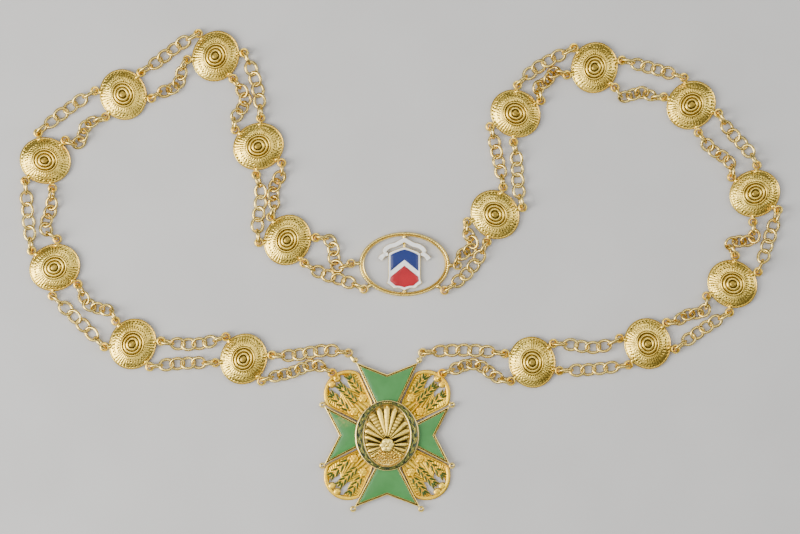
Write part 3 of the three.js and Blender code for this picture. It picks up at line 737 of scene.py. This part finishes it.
def both_sides(half):
    """An outline with two like halves: the points of the left one from top to foot, then their mirror
    images from foot to top."""
    half = np.array(half, float)
    return np.concatenate([half, half[-2:0:-1] * (-1, 1)])


SHIELD = both_sides([
    (0, 8.7), (-2.2, 8.0), (-4.4, 7.2), (-6.6, 6.3), (-8.0, 5.3), (-8.05, -6.3), (-8.3, -8.2), (-9, -9.5),
    (-7.9, -10.0), (-6.6, -11.0), (-5.4, -12.2), (-3.6, -11.9), (-2.2, -12.1), (-1.0, -12.7), (0, -13.3),
])
UPPER_FIELD = both_sides([
    (0, 7.4), (-2.2, 6.8), (-4.2, 6.0), (-6.0, 5.2), (-6.95, 4.4), (-6.95, -3.4), (0, 2.2),
])
LOWER_FIELD = both_sides([
    (0, -0.7), (-6.9, -6.3), (-7.3, -8.3), (-6.2, -9.2), (-4.4, -10.8), (-2.2, -10.9), (0, -11.6),
])
SHIELD_MIDDLE, UPPER_MIDDLE, LOWER_MIDDLE = (0, -1.5), (0, 3.4), (0, -6.5)
# inset, height, and patina and shade along the edges of the backing, of the white enamel and of a coloured
# field
BACKING_EDGE = [(0.2, 1.05, 0), (0, 1.2, 0), (0, 1.6, -0.3), (0.1, 1.8, -0.5), (0.3, 1.8, 0)]
WHITE_EDGE = [(0.22, 1.6, 0), (0.24, 1.9, 0), (0.34, 2.0, 0), (0.55, 2.03, 0), (0.8, 1.98, 0), (0.95, 1.9, 0)]
FIELD_EDGE = [(0, 1.7, 0), (0, 2.16, 0), (0.12, 2.27, 0), (0.35, 2.32, 0)]


def shield_backing():
    """The gilt plate that carries the enamel and shows as a thin line round it."""
    return plate(edge_rows(SHIELD, BACKING_EDGE), SHIELD_MIDDLE, 96)


def shield_part():
    """The white enamel: its edge rounds up from the backing, sinks a little and swells in the middle."""
    crown = crown_rows(SHIELD * 0.86, 0, [(0.9, 1.9, 0), (0.6, 2.0, 0), (0.3, 2.06, 0)])
    return plate(edge_rows(SHIELD, WHITE_EDGE) + crown, SHIELD_MIDDLE, 96)


def field_part(outline, middle):
    """One coloured field: glass that stands a little proud and curves down at its edge."""
    middle = np.array(middle)
    crown = crown_rows(outline, middle, [(0.75, 2.35, 0), (0.4, 2.38, 0)])
    return plate(edge_rows(outline, FIELD_EDGE) + crown, middle, 72)


# across the ribbon: place from -1 to 1, and height from 0, its lowest level, to 1
RIBBON_SECTION = np.array([
    (-1, 0), (-1, 0.75), (-0.93, 1), (-0.75, 0.96), (0, 1), (0.75, 0.96), (0.93, 1), (1, 0.75), (1, 0),
])


def ribbon_part(middle, half, bulge, folds, low, high):
    """A band of enamelled ribbon: its middle line is a list of points, its half width given at each,
    and its top bulges between the edges by bulge and rises and falls along it by folds."""
    ahead = unit(np.gradient(middle, axis=0))
    left = np.stack([-ahead[:, 1], ahead[:, 0]], 1)
    across, up = RIBBON_SECTION.T
    flat = middle[:, None] + left[:, None] * half[:, None, None] * across[:, None]
    z = low + (high - low + folds[:, None]) * up + bulge * (1 - across**2) * up
    return capped(np.concatenate([flat, z[..., None]], -1)[None])


def even_curve(points, count):
    """A smooth line through the points: cubic steps between them, whose slopes are the mean of their
    neighbours'."""
    points = np.array(points, float)
    slope = np.gradient(points, axis=0)
    t = np.linspace(0, len(points) - 1, count)
    i = np.minimum(t.astype(int), len(points) - 2)
    u = (t - i)[:, None]
    return ((2 * u**3 - 3 * u**2 + 1) * points[i] + (u**3 - 2 * u**2 + u) * slope[i]
            + (3 * u**2 - 2 * u**3) * points[i + 1] + (u**3 - u**2) * slope[i + 1])


# middle lines of the ribbon: the long band, and on the right the fold under its end and the loose tail
RIBBON_BAND = [
    (-10.1, 6.3), (-9.1, 7.9), (-7.0, 9.1), (-4.4, 9.8), (-2.0, 11.1), (0, 12.1), (2.0, 11.1), (4.4, 9.8),
    (7.0, 9.1), (9.1, 7.8), (10.1, 6.2),
]
RIBBON_FOLD = np.array([(10.0, 6.8), (9.5, 5.6), (8.7, 4.4)])
RIBBON_TAIL = np.array([(8.2, 5.0), (9.6, 4.9), (11.1, 3.9), (12.2, 2.4)])
# ribbon piece: its middle line, half widths at both ends, rise and fall along it, lowest, highest level
RIBBON = [(RIBBON_BAND, (1.2, 1.2), 0.12, 1.5, 2.2)]
for way in (1, -1):
    RIBBON.append((RIBBON_FOLD * (way, 1), (1.1, 0.9), 0.0, 1.35, 1.8))
    RIBBON.append((RIBBON_TAIL * (way, 1), (0.85, 1.4), 0.1, 1.5, 2.1))
RIBBON_LINE, RIBBON_BULGE = 0.15, 0.08
ribbon, ribbon_backing = [], []
for line, (start, end), wave, bottom, top in RIBBON:
    middle = even_curve(line, 8 * len(line) - 7)
    half = np.linspace(start, end, len(middle))
    folds = wave * np.cos(np.linspace(-TURN, TURN, len(middle)))
    ribbon.append(ribbon_part(middle, half - RIBBON_LINE, RIBBON_BULGE, folds, bottom, top))
    ribbon_backing.append(ribbon_part(middle, half, 0.0, folds * 0, 1.15, top - 0.25))
tie = wire_along([(0, 7.8, 1.25), (0, 10.6, 1.25)], 0.5, flat=0.5)
enamelled, backing = [shield_part(), *ribbon], [shield_backing(), tie, *ribbon_backing]
upper, lower = field_part(UPPER_FIELD, UPPER_MIDDLE), field_part(LOWER_FIELD, LOWER_MIDDLE)
piece("white_plate_and_ribbon", placed(enamelled, CARTOUCHE), WHITE, ["shield_plate"])
piece("plate_backing", placed(backing, CARTOUCHE), GILT)
piece("blue_field", placed([upper], CARTOUCHE), BLUE, ["shield_blue"])
piece("red_field", placed([lower], CARTOUCHE), RED, ["shield_red"])

# The cross badge

# arm: turn in degrees, foot (how far out, half width), tip (the same), notch (how far out), and
# whether finials stand at its tips
ARMS = [
    (90, (17.6, 6.9), (36.5, 15.6), 30.4, False), (180, (15.8, 6.7), (31.6, 14.8), 24.1, True),
    (270, (17.6, 6.9), (36.1, 16.6), 29.9, True), (0, (15.8, 6.7), (31.6, 14.8), 24.1, True),
]
FOOT_UNDER = 12.5
# an arm's rays start that far in from its notch
ARM_MIDDLE_IN = 7.0
# Edge of an arm, from its back to its tray: inset from the outline, height, patina and shade. The
# dark groove between the broad line and the thin one is a painted shadow line.
ARM_EDGE = [
    (0.3, 1.6, 0), (0.06, 1.6, 0), (0.0, 1.8, 0), (0.0, 2.95, 0.3), (0.04, 3.12, 0), (0.12, 3.2, -0.3),
    (0.4, 3.2, -0.3), (0.5, 3.08, 0.1), (0.56, 2.86, 0.9), (0.88, 2.8, 0.9), (0.92, 2.92, 0.3),
    (0.96, 3.06, 0), (1.04, 3.1, -0.1), (1.12, 3.08, 0), (1.2, 2.75, 0.3),
]
ENAMEL_EDGE = [(1.16, 2.5, 0), (1.18, 2.8, 0), (1.32, 2.93, 0), (1.7, 2.97, 0)]
ENAMEL_CROWN = [(0.8, 3.0, 0), (0.55, 3.03, 0), (0.3, 3.05, 0)]
# a ball: how far beyond the tip of an arm, its height, reach and wire
FINIAL_BEYOND, FINIAL_BALL = 0.9, (2.45, 1.02, 0.6)
# the hub under the medallion: half widths across and up, height
HUB_ROWS = [
    (11, 12, 1.6), (13.4, 14.4, 1.6), (13.6, 14.6, 1.8), (13.6, 14.6, 3.0), (13.2, 14.2, 3.2), (9, 9, 3.25),
]


def arm_outline(foot, tip, notch):
    """One arm pointing along X, its sides carried on inwards to where the medallion covers them."""
    slope = (tip[1] - foot[1]) / (tip[0] - foot[0])
    half = foot[1] - slope * (foot[0] - FOOT_UNDER)
    return np.array([(FOOT_UNDER, -half), (tip[0], -tip[1]), (notch, 0), tip, (FOOT_UNDER, half)], float)


def arm_body(outline, middle):
    """The gold tray of an arm: a broad line along its edge, a groove painted dark as a shadow line, a thin
    line, then its floor.
    """
    floor = crown_rows(inset(outline, 1.3), middle, [(0.5, 2.6, 0.5)])
    return plate(edge_rows(outline, ARM_EDGE) + floor, middle, 60)


def arm_enamel(outline, middle):
    """The glass of an arm: it climbs steeply from the edge line and is faintly domed towards its middle."""
    crown = crown_rows(inset(outline, 1.7), middle, ENAMEL_CROWN)
    return plate(edge_rows(outline, ENAMEL_EDGE) + crown, middle, 60)


cross, glass = [], []
for turn, foot, tip, notch, finials in ARMS:
    outline, middle = arm_outline(foot, tip, notch), np.array([notch - ARM_MIDDLE_IN, 0.0])
    cross.append(moved(arm_body(outline, middle), turn=turn))
    glass.append(moved(arm_enamel(outline, middle), turn=turn))
    if finials:
        slant = np.arctan2(tip[1] - foot[1], tip[0] - foot[0])
        x, y = tip + FINIAL_BEYOND * pointing(slant)
        cross += [moved(wire_ring(x, side * y, *FINIAL_BALL, around=18), turn=turn) for side in (1, -1)]
cross.append(capped(oval_ring(*np.array(HUB_ROWS).T, even_turns(64))))
for key, way in (("tipLeft", -1), ("tipRight", 1)):
    cross += eye_ring(BADGE_EYES[key], (way * 15.4, 36.2), 2.8)
    cross.append(wire_ring(way * 16.0, 37.5, 2.3, 1.0, 0.5, around=18))
piece("cross_body", placed(cross, BADGE), EDGE_GILT, ["badge_cross"])
piece("cross_enamel", placed(glass, BADGE), GREEN, ["badge_enamel"])

# The laurel lobes between the arms, each drawn in the quarter where x and y are positive

LOBE_CORNER, LOBE_ROUND = np.array([19.7, 20.6]), 12.0
LOBE_CENTRE = np.array([25.0, 25.2])
OPENING = np.array([
    (29.6, 24.0), (29.5, 25.6), (28.6, 27.4), (27.9, 28.8), (27.2, 29.3), (26.2, 29.2), (25.0, 29.9),
    (23.4, 30.3), (21.4, 29.7), (19.4, 28.2), (19.8, 26.4), (18.2, 23.4), (21.0, 23.8), (23.6, 24.5),
    (23.2, 21.8), (23.6, 18.6), (25.2, 20.9), (28.4, 21.3),
])
# Rows of the lobe from its foot round its edge and over the rim band: inset, height, patina and shade.
LOBE_EDGE = [
    (0.4, 0.05, 0), (0.05, 0.2, 0), (0.0, 0.5, 0), (0.0, 1.2, 0), (0.1, 1.5, 0), (0.35, 1.66, -0.05),
    (0.8, 1.7, 0), (1.4, 1.67, 0), (1.9, 1.6, -0.1), (2.15, 1.45, 0), (2.35, 1.2, 0.5),
]
# the band's breadth, as a share of those insets, on the sides, and what the round end adds to it as
# x plus y goes from one sum to the other
BAND_SIDES, BAND_END, BAND_SUMS = 0.4, 0.48, (41, 48)
# Rows on from the rim band to the opening and back under: share of the way, height, patina and
# shade, share of the fine ribs.
LOBE_FIELD = [
    (0.02, 1.14, 0.4, 0), (0.12, 1.16, 0.05, 1), (0.35, 1.2, 0.05, 1), (0.6, 1.22, 0.05, 1),
    (0.85, 1.22, 0.05, 0.7), (0.95, 1.2, 0.1, 0), (1.0, 1.05, 0.3, 0), (1.0, 0.2, 0.8, 0),
    (0.9, 0.05, 0.5, 0),
]
# the ribs: how many round the opening, their height, and how much paler and darker they make it
LOBE_RIBS, RIB_HIGH, RIB_PALE, RIB_DARK = 54, 0.13, 0.15, 0.65
# sprig: where its stem starts and ends, and its pairs of leaves
SPRIGS = [((12.9, 21.0), (19.0, 29.2), 4), ((15.0, 16.0), (24.0, 24.9), 5), ((19.4, 12.4), (28.2, 20.4), 4)]
LEAF_LONG, LEAF_WIDE, LEAF_HIGH, LEAF_LOW, LEAF_SPREAD = 4.3, 1.7, 0.75, 1.2, 25
ROSETTES = [(12.0, 18.6), (16.4, 11.8)]
SCROLLS = [(25.05, 28.3), (27.6, 25.4)]
PETALS, PETAL_WAVE = 6, 0.05
# rows of a small rosette: radius, height, patina and shade, and how far its petals rise
ROSETTE_ROWS = [
    (2.45, 1.0, 0, 0), (2.35, 1.3, 0.1, 0.03), (2.0, 1.5, 0, 0.06), (1.5, 1.62, 0, 0.06),
    (0.95, 1.52, 0.3, 0), (0.8, 1.56, 0.1, 0), (0.5, 1.64, 0, 0),
]
# rows of a scroll: radius, height, patina and shade
SCROLL_ROWS = [
    (1.6, 0.1, 0), (1.85, 0.4, 0), (1.85, 1.15, -0.2), (1.75, 1.5, -0.6), (1.45, 1.72, -0.2),
    (0.95, 1.82, 0), (0.4, 1.86, 0),
]
# the ring that joins the lobes under the medallion: half widths across and up, height
LOBE_HUB_ROWS = [(10, 11, 0.05), (12.4, 13.9, 0.05), (12.5, 14, 0.3), (12.4, 13.9, 1.3)]


def eased(a, b, c):
    """Four points of the parabola from a to c that leaves towards b and arrives from it."""
    t = np.linspace(0, 1, 6)[1:-1, None]
    return (1 - t) ** 2 * np.array(a) + 2 * t * (1 - t) * np.array(b) + t**2 * np.array(c)


def lobe_outline():
    """A lobe, counterclockwise: two straight sides that widen outwards, two eased corners, and a round
    end about LOBE_CORNER."""
    end = LOBE_CORNER + LOBE_ROUND * pointing(np.radians(np.linspace(0, 90, 19)))
    return np.concatenate([
        [(6, 6), (15.4, 7.4), (29.4, 14.3)], eased((29.4, 14.3), (31.7, 15.6), (31.7, 20.6)), end,
        eased((19.7, 32.6), (15.6, 32.6), (13.8, 30.6)), [(13.8, 30.6), (7.6, 17.4)],
    ])


def lobe_part():
    """The lobe's plate, pierced: its rows go from the edge over a rounded rim band, which is broad at the
    round end and narrow along the straight sides, then over a sunk field of fine ribs that run out from
    the opening, to the opening and back under."""
    outline = lobe_outline()
    angles = ray_angles([outline, OPENING], LOBE_CENTRE, LOBE_RIBS * 6)
    edge, hole = (met_by_rays(line, LOBE_CENTRE, angles) for line in (outline, OPENING))
    broad = BAND_SIDES + BAND_END * np.interp(edge.sum(1), BAND_SUMS, [0, 1])[:, None]
    loops = []
    for by, _, _ in LOBE_EDGE:
        line = met_by_rays(inset(outline, by), LOBE_CENTRE, angles)
        loops.append(edge + (line - edge) * (broad if by > 0.4 else 1))
    inner = loops[-1]
    loops += [inner + (hole - inner) * share for share, *_ in LOBE_FIELD]
    rows = [(z, patina_and_shade, 0) for _, z, patina_and_shade in LOBE_EDGE] + [row[1:] for row in LOBE_FIELD]
    z, patina_and_shade, ribbed = np.array(rows).T[..., None]
    wave = np.cos(LOBE_RIBS * angles) * ribbed
    rings = np.concatenate([np.stack(loops), (z + RIB_HIGH * wave)[..., None]], -1)[None]
    return looped(rings, patina_and_shade=patina_and_shade - np.where(wave > 0, RIB_PALE, RIB_DARK) * wave)


def sprig_parts(start, end, pairs):
    """A laurel sprig: a thin stem, leaves in pairs that lean out from it, and one at its tip."""
    start, end = np.array(start), np.array(end)
    length = np.linalg.norm(end - start)
    along = (end - start) / length
    left = np.array([-along[1], along[0]])
    ahead, aside = pointing(np.radians(LEAF_SPREAD))
    steps = (np.linspace(0.02, 0.82, pairs) * length)[:, None]
    roots, tips = [end - along * 1.6], [end + along * 1.5]
    for way in (1, -1):
        feet = start + along * steps + way * left * 0.25
        roots += list(feet)
        tips += list(feet + (ahead * along + way * aside * left) * LEAF_LONG)
    stem = start + along * np.linspace(-0.6, length, 8)[:, None]
    leaves = blades(at_height(roots, LEAF_LOW), at_height(tips, LEAF_LOW), LEAF_WIDE, LEAF_HIGH, green=0.85)
    return [wire_along(at_height(stem, 1.35), np.linspace(0.3, 0.18, 8), sides=6), leaves]


def rosette_part(x, y):
    """A small soft boss with six petals: its radius and height both follow a cosine round it."""
    turns = even_turns(36)
    petal = np.cos(PETALS * turns)
    radius, z, patina_and_shade, rise = np.array(ROSETTE_ROWS).T[..., None]
    radius = radius * (1 + PETAL_WAVE * petal)
    return capped(oval_ring(radius, radius, z + rise * petal, turns, (x, y)), patina_and_shade=patina_and_shade)


def scroll_part(x, y):
    """A round-ended scroll of the rim band, a smooth knob as high as the band."""
    radius, z, patina_and_shade = np.array(SCROLL_ROWS).T
    return capped(oval_ring(radius, radius, z, even_turns(28), (x, y)), patina_and_shade=patina_and_shade)


lobe = [lobe_part()]
for sprig in SPRIGS:
    lobe += sprig_parts(*sprig)
lobe += [rosette_part(*place) for place in ROSETTES] + [scroll_part(*place) for place in SCROLLS]
# the cut line between the two rosettes: a strip with rounded ends, as dark as the deepest groove
cut_line = at_height(np.linspace((11.2, 11.6), (17.6, 16.6), 6), 1.1)
points, faces, patina_and_shade, green = wire_along(cut_line, 0.22, sides=6)
lobe.append((points, faces, np.ones_like(patina_and_shade), green))
lobes = [moved(part, mirror=mirror) for mirror in ((1, 1), (-1, 1), (-1, -1), (1, -1)) for part in lobe]
lobes.append(capped(oval_ring(*np.array(LOBE_HUB_ROWS).T, even_turns(48))))
for key in ("lobeLeft", "lobeRight"):
    x, y = BADGE_EYES[key]
    lobes += eye_ring((x, y), (x - np.sign(x) * 2.4, y - 3.2), 1.2)
piece("laurel_lobes", placed(lobes, BADGE), DEEP_GILT, ["badge_quadrants"])

# The medallion

MEDALLION_RIM, MEDALLION_FIELD = np.array([16.15, 17.65]), np.array([11.6, 15.5])
# Rows from the back over the rim and the wreath band to the field: share of the way from the rim's
# oval to the field's, height, patina and shade, green. The pale values on the rim's crest are a
# painted highlight.
BAND_ROWS = [
    (0.06, 3.5, 0, 0), (0.0, 3.6, 0, 0), (-0.01, 4.3, 0, 0), (0.02, 4.75, -0.3, 0), (0.08, 4.98, -0.5, 0),
    (0.15, 5.0, -0.3, 0), (0.19, 4.8, 0, 0), (0.2, 4.5, 1, 0), (0.23, 4.4, 0.6, 1), (0.5, 4.5, 0.5, 1),
    (0.79, 4.6, 0.6, 1), (0.82, 4.6, 1, 0.2), (0.84, 5.05, 0, 0), (0.91, 5.35, -0.6, 0), (1.0, 5.25, -0.3, 0),
]
# Rows on inwards over the field: share of its half widths, height.
FIELD_ROWS = [(0.98, 4.75), (0.955, 4.4), (0.8, 4.5), (0.6, 4.75), (0.4, 4.9), (0.2, 5.0)]
ROSETTE = np.array([0.0, -4.7])
# the wreath: leaves on each side of a branch, degrees that a leaf spans, its width, height and foot
LEAVES_ALONG, LEAF_SPAN, WREATH_LEAF_WIDE, WREATH_LEAF_HIGH, WREATH_LOW = 10, 15.0, 1.25, 0.6, 4.5
# the medallion's swelling field: height in the middle, and how far it falls to the border
FIELD_HIGH, FIELD_FALL = 5.3, 0.75
# The fan over the rosette. Its foot, then flute: lean from upright in degrees, width, cuts across it
FAN_FOOT = np.array([0.0, -2.6])
FLUTES = [(0, 3.4, 0), (14.5, 3.0, 0), (30, 4.0, 8), (47, 3.2, 0), (64, 3.1, 0)]
# bar beside the rosette: turn up from level in degrees, width
BARS = [(21, 2.6), (1, 2.7), (-19, 2.7), (-38, 2.3)]
# grains under the rosette: distance from it and how many, and how far they keep from the border
GRAIN_ROWS = [(4.5, 9), (5.9, 11), (7.3, 13), (8.7, 15), (10.1, 11)]
GRAIN_MARGIN = 1.1
# rows of the rosette: radius, height, patina and shade, share of the petal wave; then that wave's rise and
# dark
CENTRE_ROWS = [
    (3.4, 4.7, 0.5, 0.3), (3.6, 5.3, 0.2, 0.8), (3.6, 6.1, 0, 0.8), (3.38, 6.45, -0.7, 0.8),
    (2.8, 6.6, -0.9, 0.8), (2.1, 6.66, -0.9, 0.9), (1.5, 6.66, -0.8, 1), (1.05, 6.6, -0.2, 0.8),
    (0.82, 6.6, 0.4, 0), (0.7, 6.72, 0, 0), (0.48, 6.86, -0.6, 0), (0.2, 6.9, -0.6, 0),
]
CENTRE_RISE, CENTRE_DARK = 0.07, 0.7


def medallion_base():
    """The medallion's plate: rim, wreath band, field line, and the field under the palmette, painted dark
    as shade between the flutes, more so further in, and lighter under the grains."""
    turns = even_turns(144)
    share, z, patina_and_shade, green = np.array(BAND_ROWS).T
    scale, field_z = np.array(FIELD_ROWS).T
    half = MEDALLION_RIM + (MEDALLION_FIELD - MEDALLION_RIM) * share[:, None]
    half_x, half_y = np.concatenate([half, MEDALLION_FIELD * scale[:, None]]).T
    rings = oval_ring(half_x, half_y, np.concatenate([z, field_z]), turns)
    # the field's painted shade: full between the flutes, less under the grains, and growing over the first
    # rows in from the field line
    field_y, shade_inwards = rings[0, len(BAND_ROWS):, :, 1], np.clip(np.arange(len(scale)) / 2, 0.2, 1)
    field_shade = np.interp(field_y, [-8, -5], [0.25, 1]) * shade_inwards[:, None]
    patina_and_shade = np.concatenate([np.repeat(patina_and_shade[:, None], len(turns), 1), field_shade])
    return capped(rings, patina_and_shade=patina_and_shade, green=np.concatenate([green, scale * 0]))


def on_band(turns, share):
    """Points on the band, at a turn from the middle and a share of the way from rim to field."""
    return (MEDALLION_RIM + (MEDALLION_FIELD - MEDALLION_RIM) * share) * pointing(turns)


def wreath_parts():
    """The wreath: two branches that climb from the foot of the band to its head, each with leaves leaning
    to either side of its middle line, and berries where they meet at the top."""
    parts = []
    for way in (1, -1):
        feet = np.radians(-90 + way * np.linspace(4, 162, LEAVES_ALONG))
        step = np.radians(way * LEAF_SPAN)
        narrow = np.interp(np.abs(np.cos(feet + step / 2)), [0, 1], [0.55, 1.0])
        for root, tip, later in ((0.5, 0.27, 0.0), (0.54, 0.77, 0.5)):
            roots = at_height(on_band(feet + step * later, root), WREATH_LOW)
            tips = at_height(on_band(feet + step * (1 + later), tip), WREATH_LOW)
            parts.append(blades(roots, tips, WREATH_LEAF_WIDE * narrow, WREATH_LEAF_HIGH, green=0.82))
    for aside in (-9, -5.4, -1.8, 1.8, 5.4, 9):
        parts.append(dome(*on_band(np.radians(90 + aside), 0.5), 4.45, 0.45, 0.55, rows=4))
    return parts


def field_height(x, y):
    """How high the medallion's swelling field is at a place."""
    return FIELD_HIGH - FIELD_FALL * ((x / MEDALLION_FIELD[0]) ** 2 + (y / MEDALLION_FIELD[1]) ** 2)


def lifted(points, by):
    """Flat points raised to the field, and by so much above it."""
    return at_height(points, field_height(points[:, 0], points[:, 1]) + by)


def to_border(start, turns, short):
    """How far it is from start to the field's oval, made smaller by short, in the direction of each turn."""
    half = MEDALLION_FIELD - short
    way, from_middle = pointing(turns) / half, start / half
    a, b, c = (way**2).sum(1), (way * from_middle).sum(1), (from_middle**2).sum() - 1
    return (-b + np.sqrt(b**2 - a * c)) / a


def fan(foot, turns, start, lift, widths, height, **shape):
    """Blades that spread from a foot, from start millimetres out to the field's border line."""
    way = pointing(turns)
    reach = to_border(foot, turns, 0.1)[:, None]
    roots, tips = lifted(foot + way * start, lift), lifted(foot + way * reach, -0.1)
    return blades(roots, tips, widths, height, roof=0.32, **shape)


def palmette_parts():
    """A fan of flutes, some cut across, bars fanned out to the sides of the rosette, and a crescent of
    grains under it."""
    parts = []
    for side in (1, -1):
        # the flutes and bars here have edge above zero: their flanks painted dark as shade and their ridges
        # painted pale as highlights
        lean, width, cuts = np.array(FLUTES if side == 1 else FLUTES[1:]).T
        turns = np.pi / 2 - side * np.radians(lean)
        for cut, rows in ((0, 12), (8, 36)):
            pick = cuts == cut
            parts.append(fan(FAN_FOOT, turns[pick], 1.9, 0.0, width[pick], 0.65, peak=0.85, blunt=0.15,
                             rows=rows, sides=12, hatch=cut, edge=0.75))
        turn, width = np.array(BARS).T
        turns = np.pi / 2 - side * np.radians(90 - turn)
        parts.append(fan(ROSETTE, turns, 3.3, 0.1, width, 0.6, peak=0.7, blunt=0.12, edge=0.9))
    spare = np.random.default_rng(4)
    for reach, count in GRAIN_ROWS:
        for turn in np.radians(np.linspace(-144, -36, count)) + spare.uniform(-0.05, 0.05, count):
            x, y = place = ROSETTE + (reach + spare.uniform(-0.2, 0.2)) * pointing(turn)
            if ((place / (MEDALLION_FIELD - GRAIN_MARGIN)) ** 2).sum() < 1:
                parts.append(dome(x, y, field_height(x, y) - 0.1, spare.uniform(0.55, 0.78), 0.55, rows=3))
    return parts


def centre_rosette():
    """The round boss low in the middle: six petals round a small raised eye, its radius and height
    following a cosine round it, and darker between the petals."""
    turns = even_turns(64)
    petal = np.cos(PETALS * turns)
    radius, z, patina_and_shade, share = np.array(CENTRE_ROWS).T[..., None]
    radius = radius * (1 + PETAL_WAVE * petal * share)
    patina_and_shade = patina_and_shade + CENTRE_DARK * np.clip(-petal - 0.3, 0, 1) * share
    return capped(oval_ring(radius, radius, z + CENTRE_RISE * petal * share, turns, ROSETTE), patina_and_shade=patina_and_shade)


medal, palmette = [medallion_base(), *wreath_parts()], [*palmette_parts(), centre_rosette()]
piece("medallion_wreath", placed(medal, BADGE), WREATH_GILT, ["badge_medallion"])
piece("medallion_palmette", placed(palmette, BADGE), GILT)

# Floor, lights and camera


def floor_finish():
    """A plain pale matt board with a very faint mottle."""
    f = Finish("pale_board")
    tint = f.ramp(f.noise(60, 2.0), [(0.3, (0.51, 0.505, 0.495)), (0.7, (0.545, 0.54, 0.53))])
    return f.set(Base_Color=tint, Roughness=0.75)


# in metres
FLOOR_HALF, FLOOR_UNDER = 1.5, 0.00005
corners = [(x * FLOOR_HALF, y * FLOOR_HALF, -FLOOR_UNDER) for x, y in ((-1, -1), (1, -1), (1, 1), (-1, 1))]
floor_mesh = bpy.data.meshes.new("board")
floor_mesh.from_pydata(corners, [], [(0, 1, 2, 3)])
floor_mesh.materials.append(floor_finish())
board = bpy.data.objects.new("board", floor_mesh)
bpy.context.scene.collection.objects.link(board)


def soft_light(name, place, size, power, colour=(1.0, 1.0, 1.0)):
    """A rectangular area light turned to the collar's middle, its place and size in metres."""
    lamp = bpy.data.lights.new(name, "AREA")
    lamp.shape, lamp.size, lamp.size_y = "RECTANGLE", *size
    lamp.energy, lamp.color = power, colour
    made = bpy.data.objects.new(name, lamp)
    made.location = place
    aim = -np.array(place) / np.linalg.norm(place)
    made.rotation_mode = "QUATERNION"
    made.rotation_quaternion = Vector(aim).to_track_quat("-Z", "Y")
    bpy.context.scene.collection.objects.link(made)


soft_light("key_left", (-1.2, -0.35, 0.85), (0.8, 1.0), 29, (1.0, 0.98, 0.95))
soft_light("fill_right", (1.3, 0.3, 0.8), (0.4, 0.8), 4, (0.97, 0.98, 1.0))
soft_light("sky_left", (-0.9, -0.1, 1.6), (0.7, 1.5), 15, (1.0, 0.99, 0.97))
soft_light("sky_right", (0.95, 0.1, 1.6), (0.6, 1.5), 6)
soft_light("sky_back", (0.0, 1.0, 1.6), (1.3, 0.6), 9)
soft_light("sky_front", (0.0, -1.0, 1.5), (1.3, 0.6), 4)
soft_light("top_soft", (0.0, 0.05, 2.0), (1.3, 0.9), 3.4)

world = bpy.data.worlds.new("studio")
world.use_nodes = True
sky = world.node_tree.nodes["Background"]
sky.inputs["Color"].default_value, sky.inputs["Strength"].default_value = (0.9, 0.92, 0.95, 1), 0.16
bpy.context.scene.world = world

# the width of the view and its distance in metres, and the place under its middle in millimetres
VIEW_WIDE, VIEW_DISTANCE, VIEW_CENTRE = 0.400, 1.6, np.array([-0.25, 1.8])
VIEW_LEVEL = 0.003
SENSOR = 36.0
camera = bpy.data.cameras.new("camera")
camera.sensor_width = SENSOR
camera.lens = SENSOR * VIEW_DISTANCE / VIEW_WIDE
camera.clip_start, camera.clip_end = 0.01, 20
camera_object = bpy.data.objects.new("camera", camera)
camera_object.location = (*((VIEW_CENTRE + SHIFT[:2]) * MM), VIEW_DISTANCE + VIEW_LEVEL)
bpy.context.scene.collection.objects.link(camera_object)
bpy.context.scene.camera = camera_object
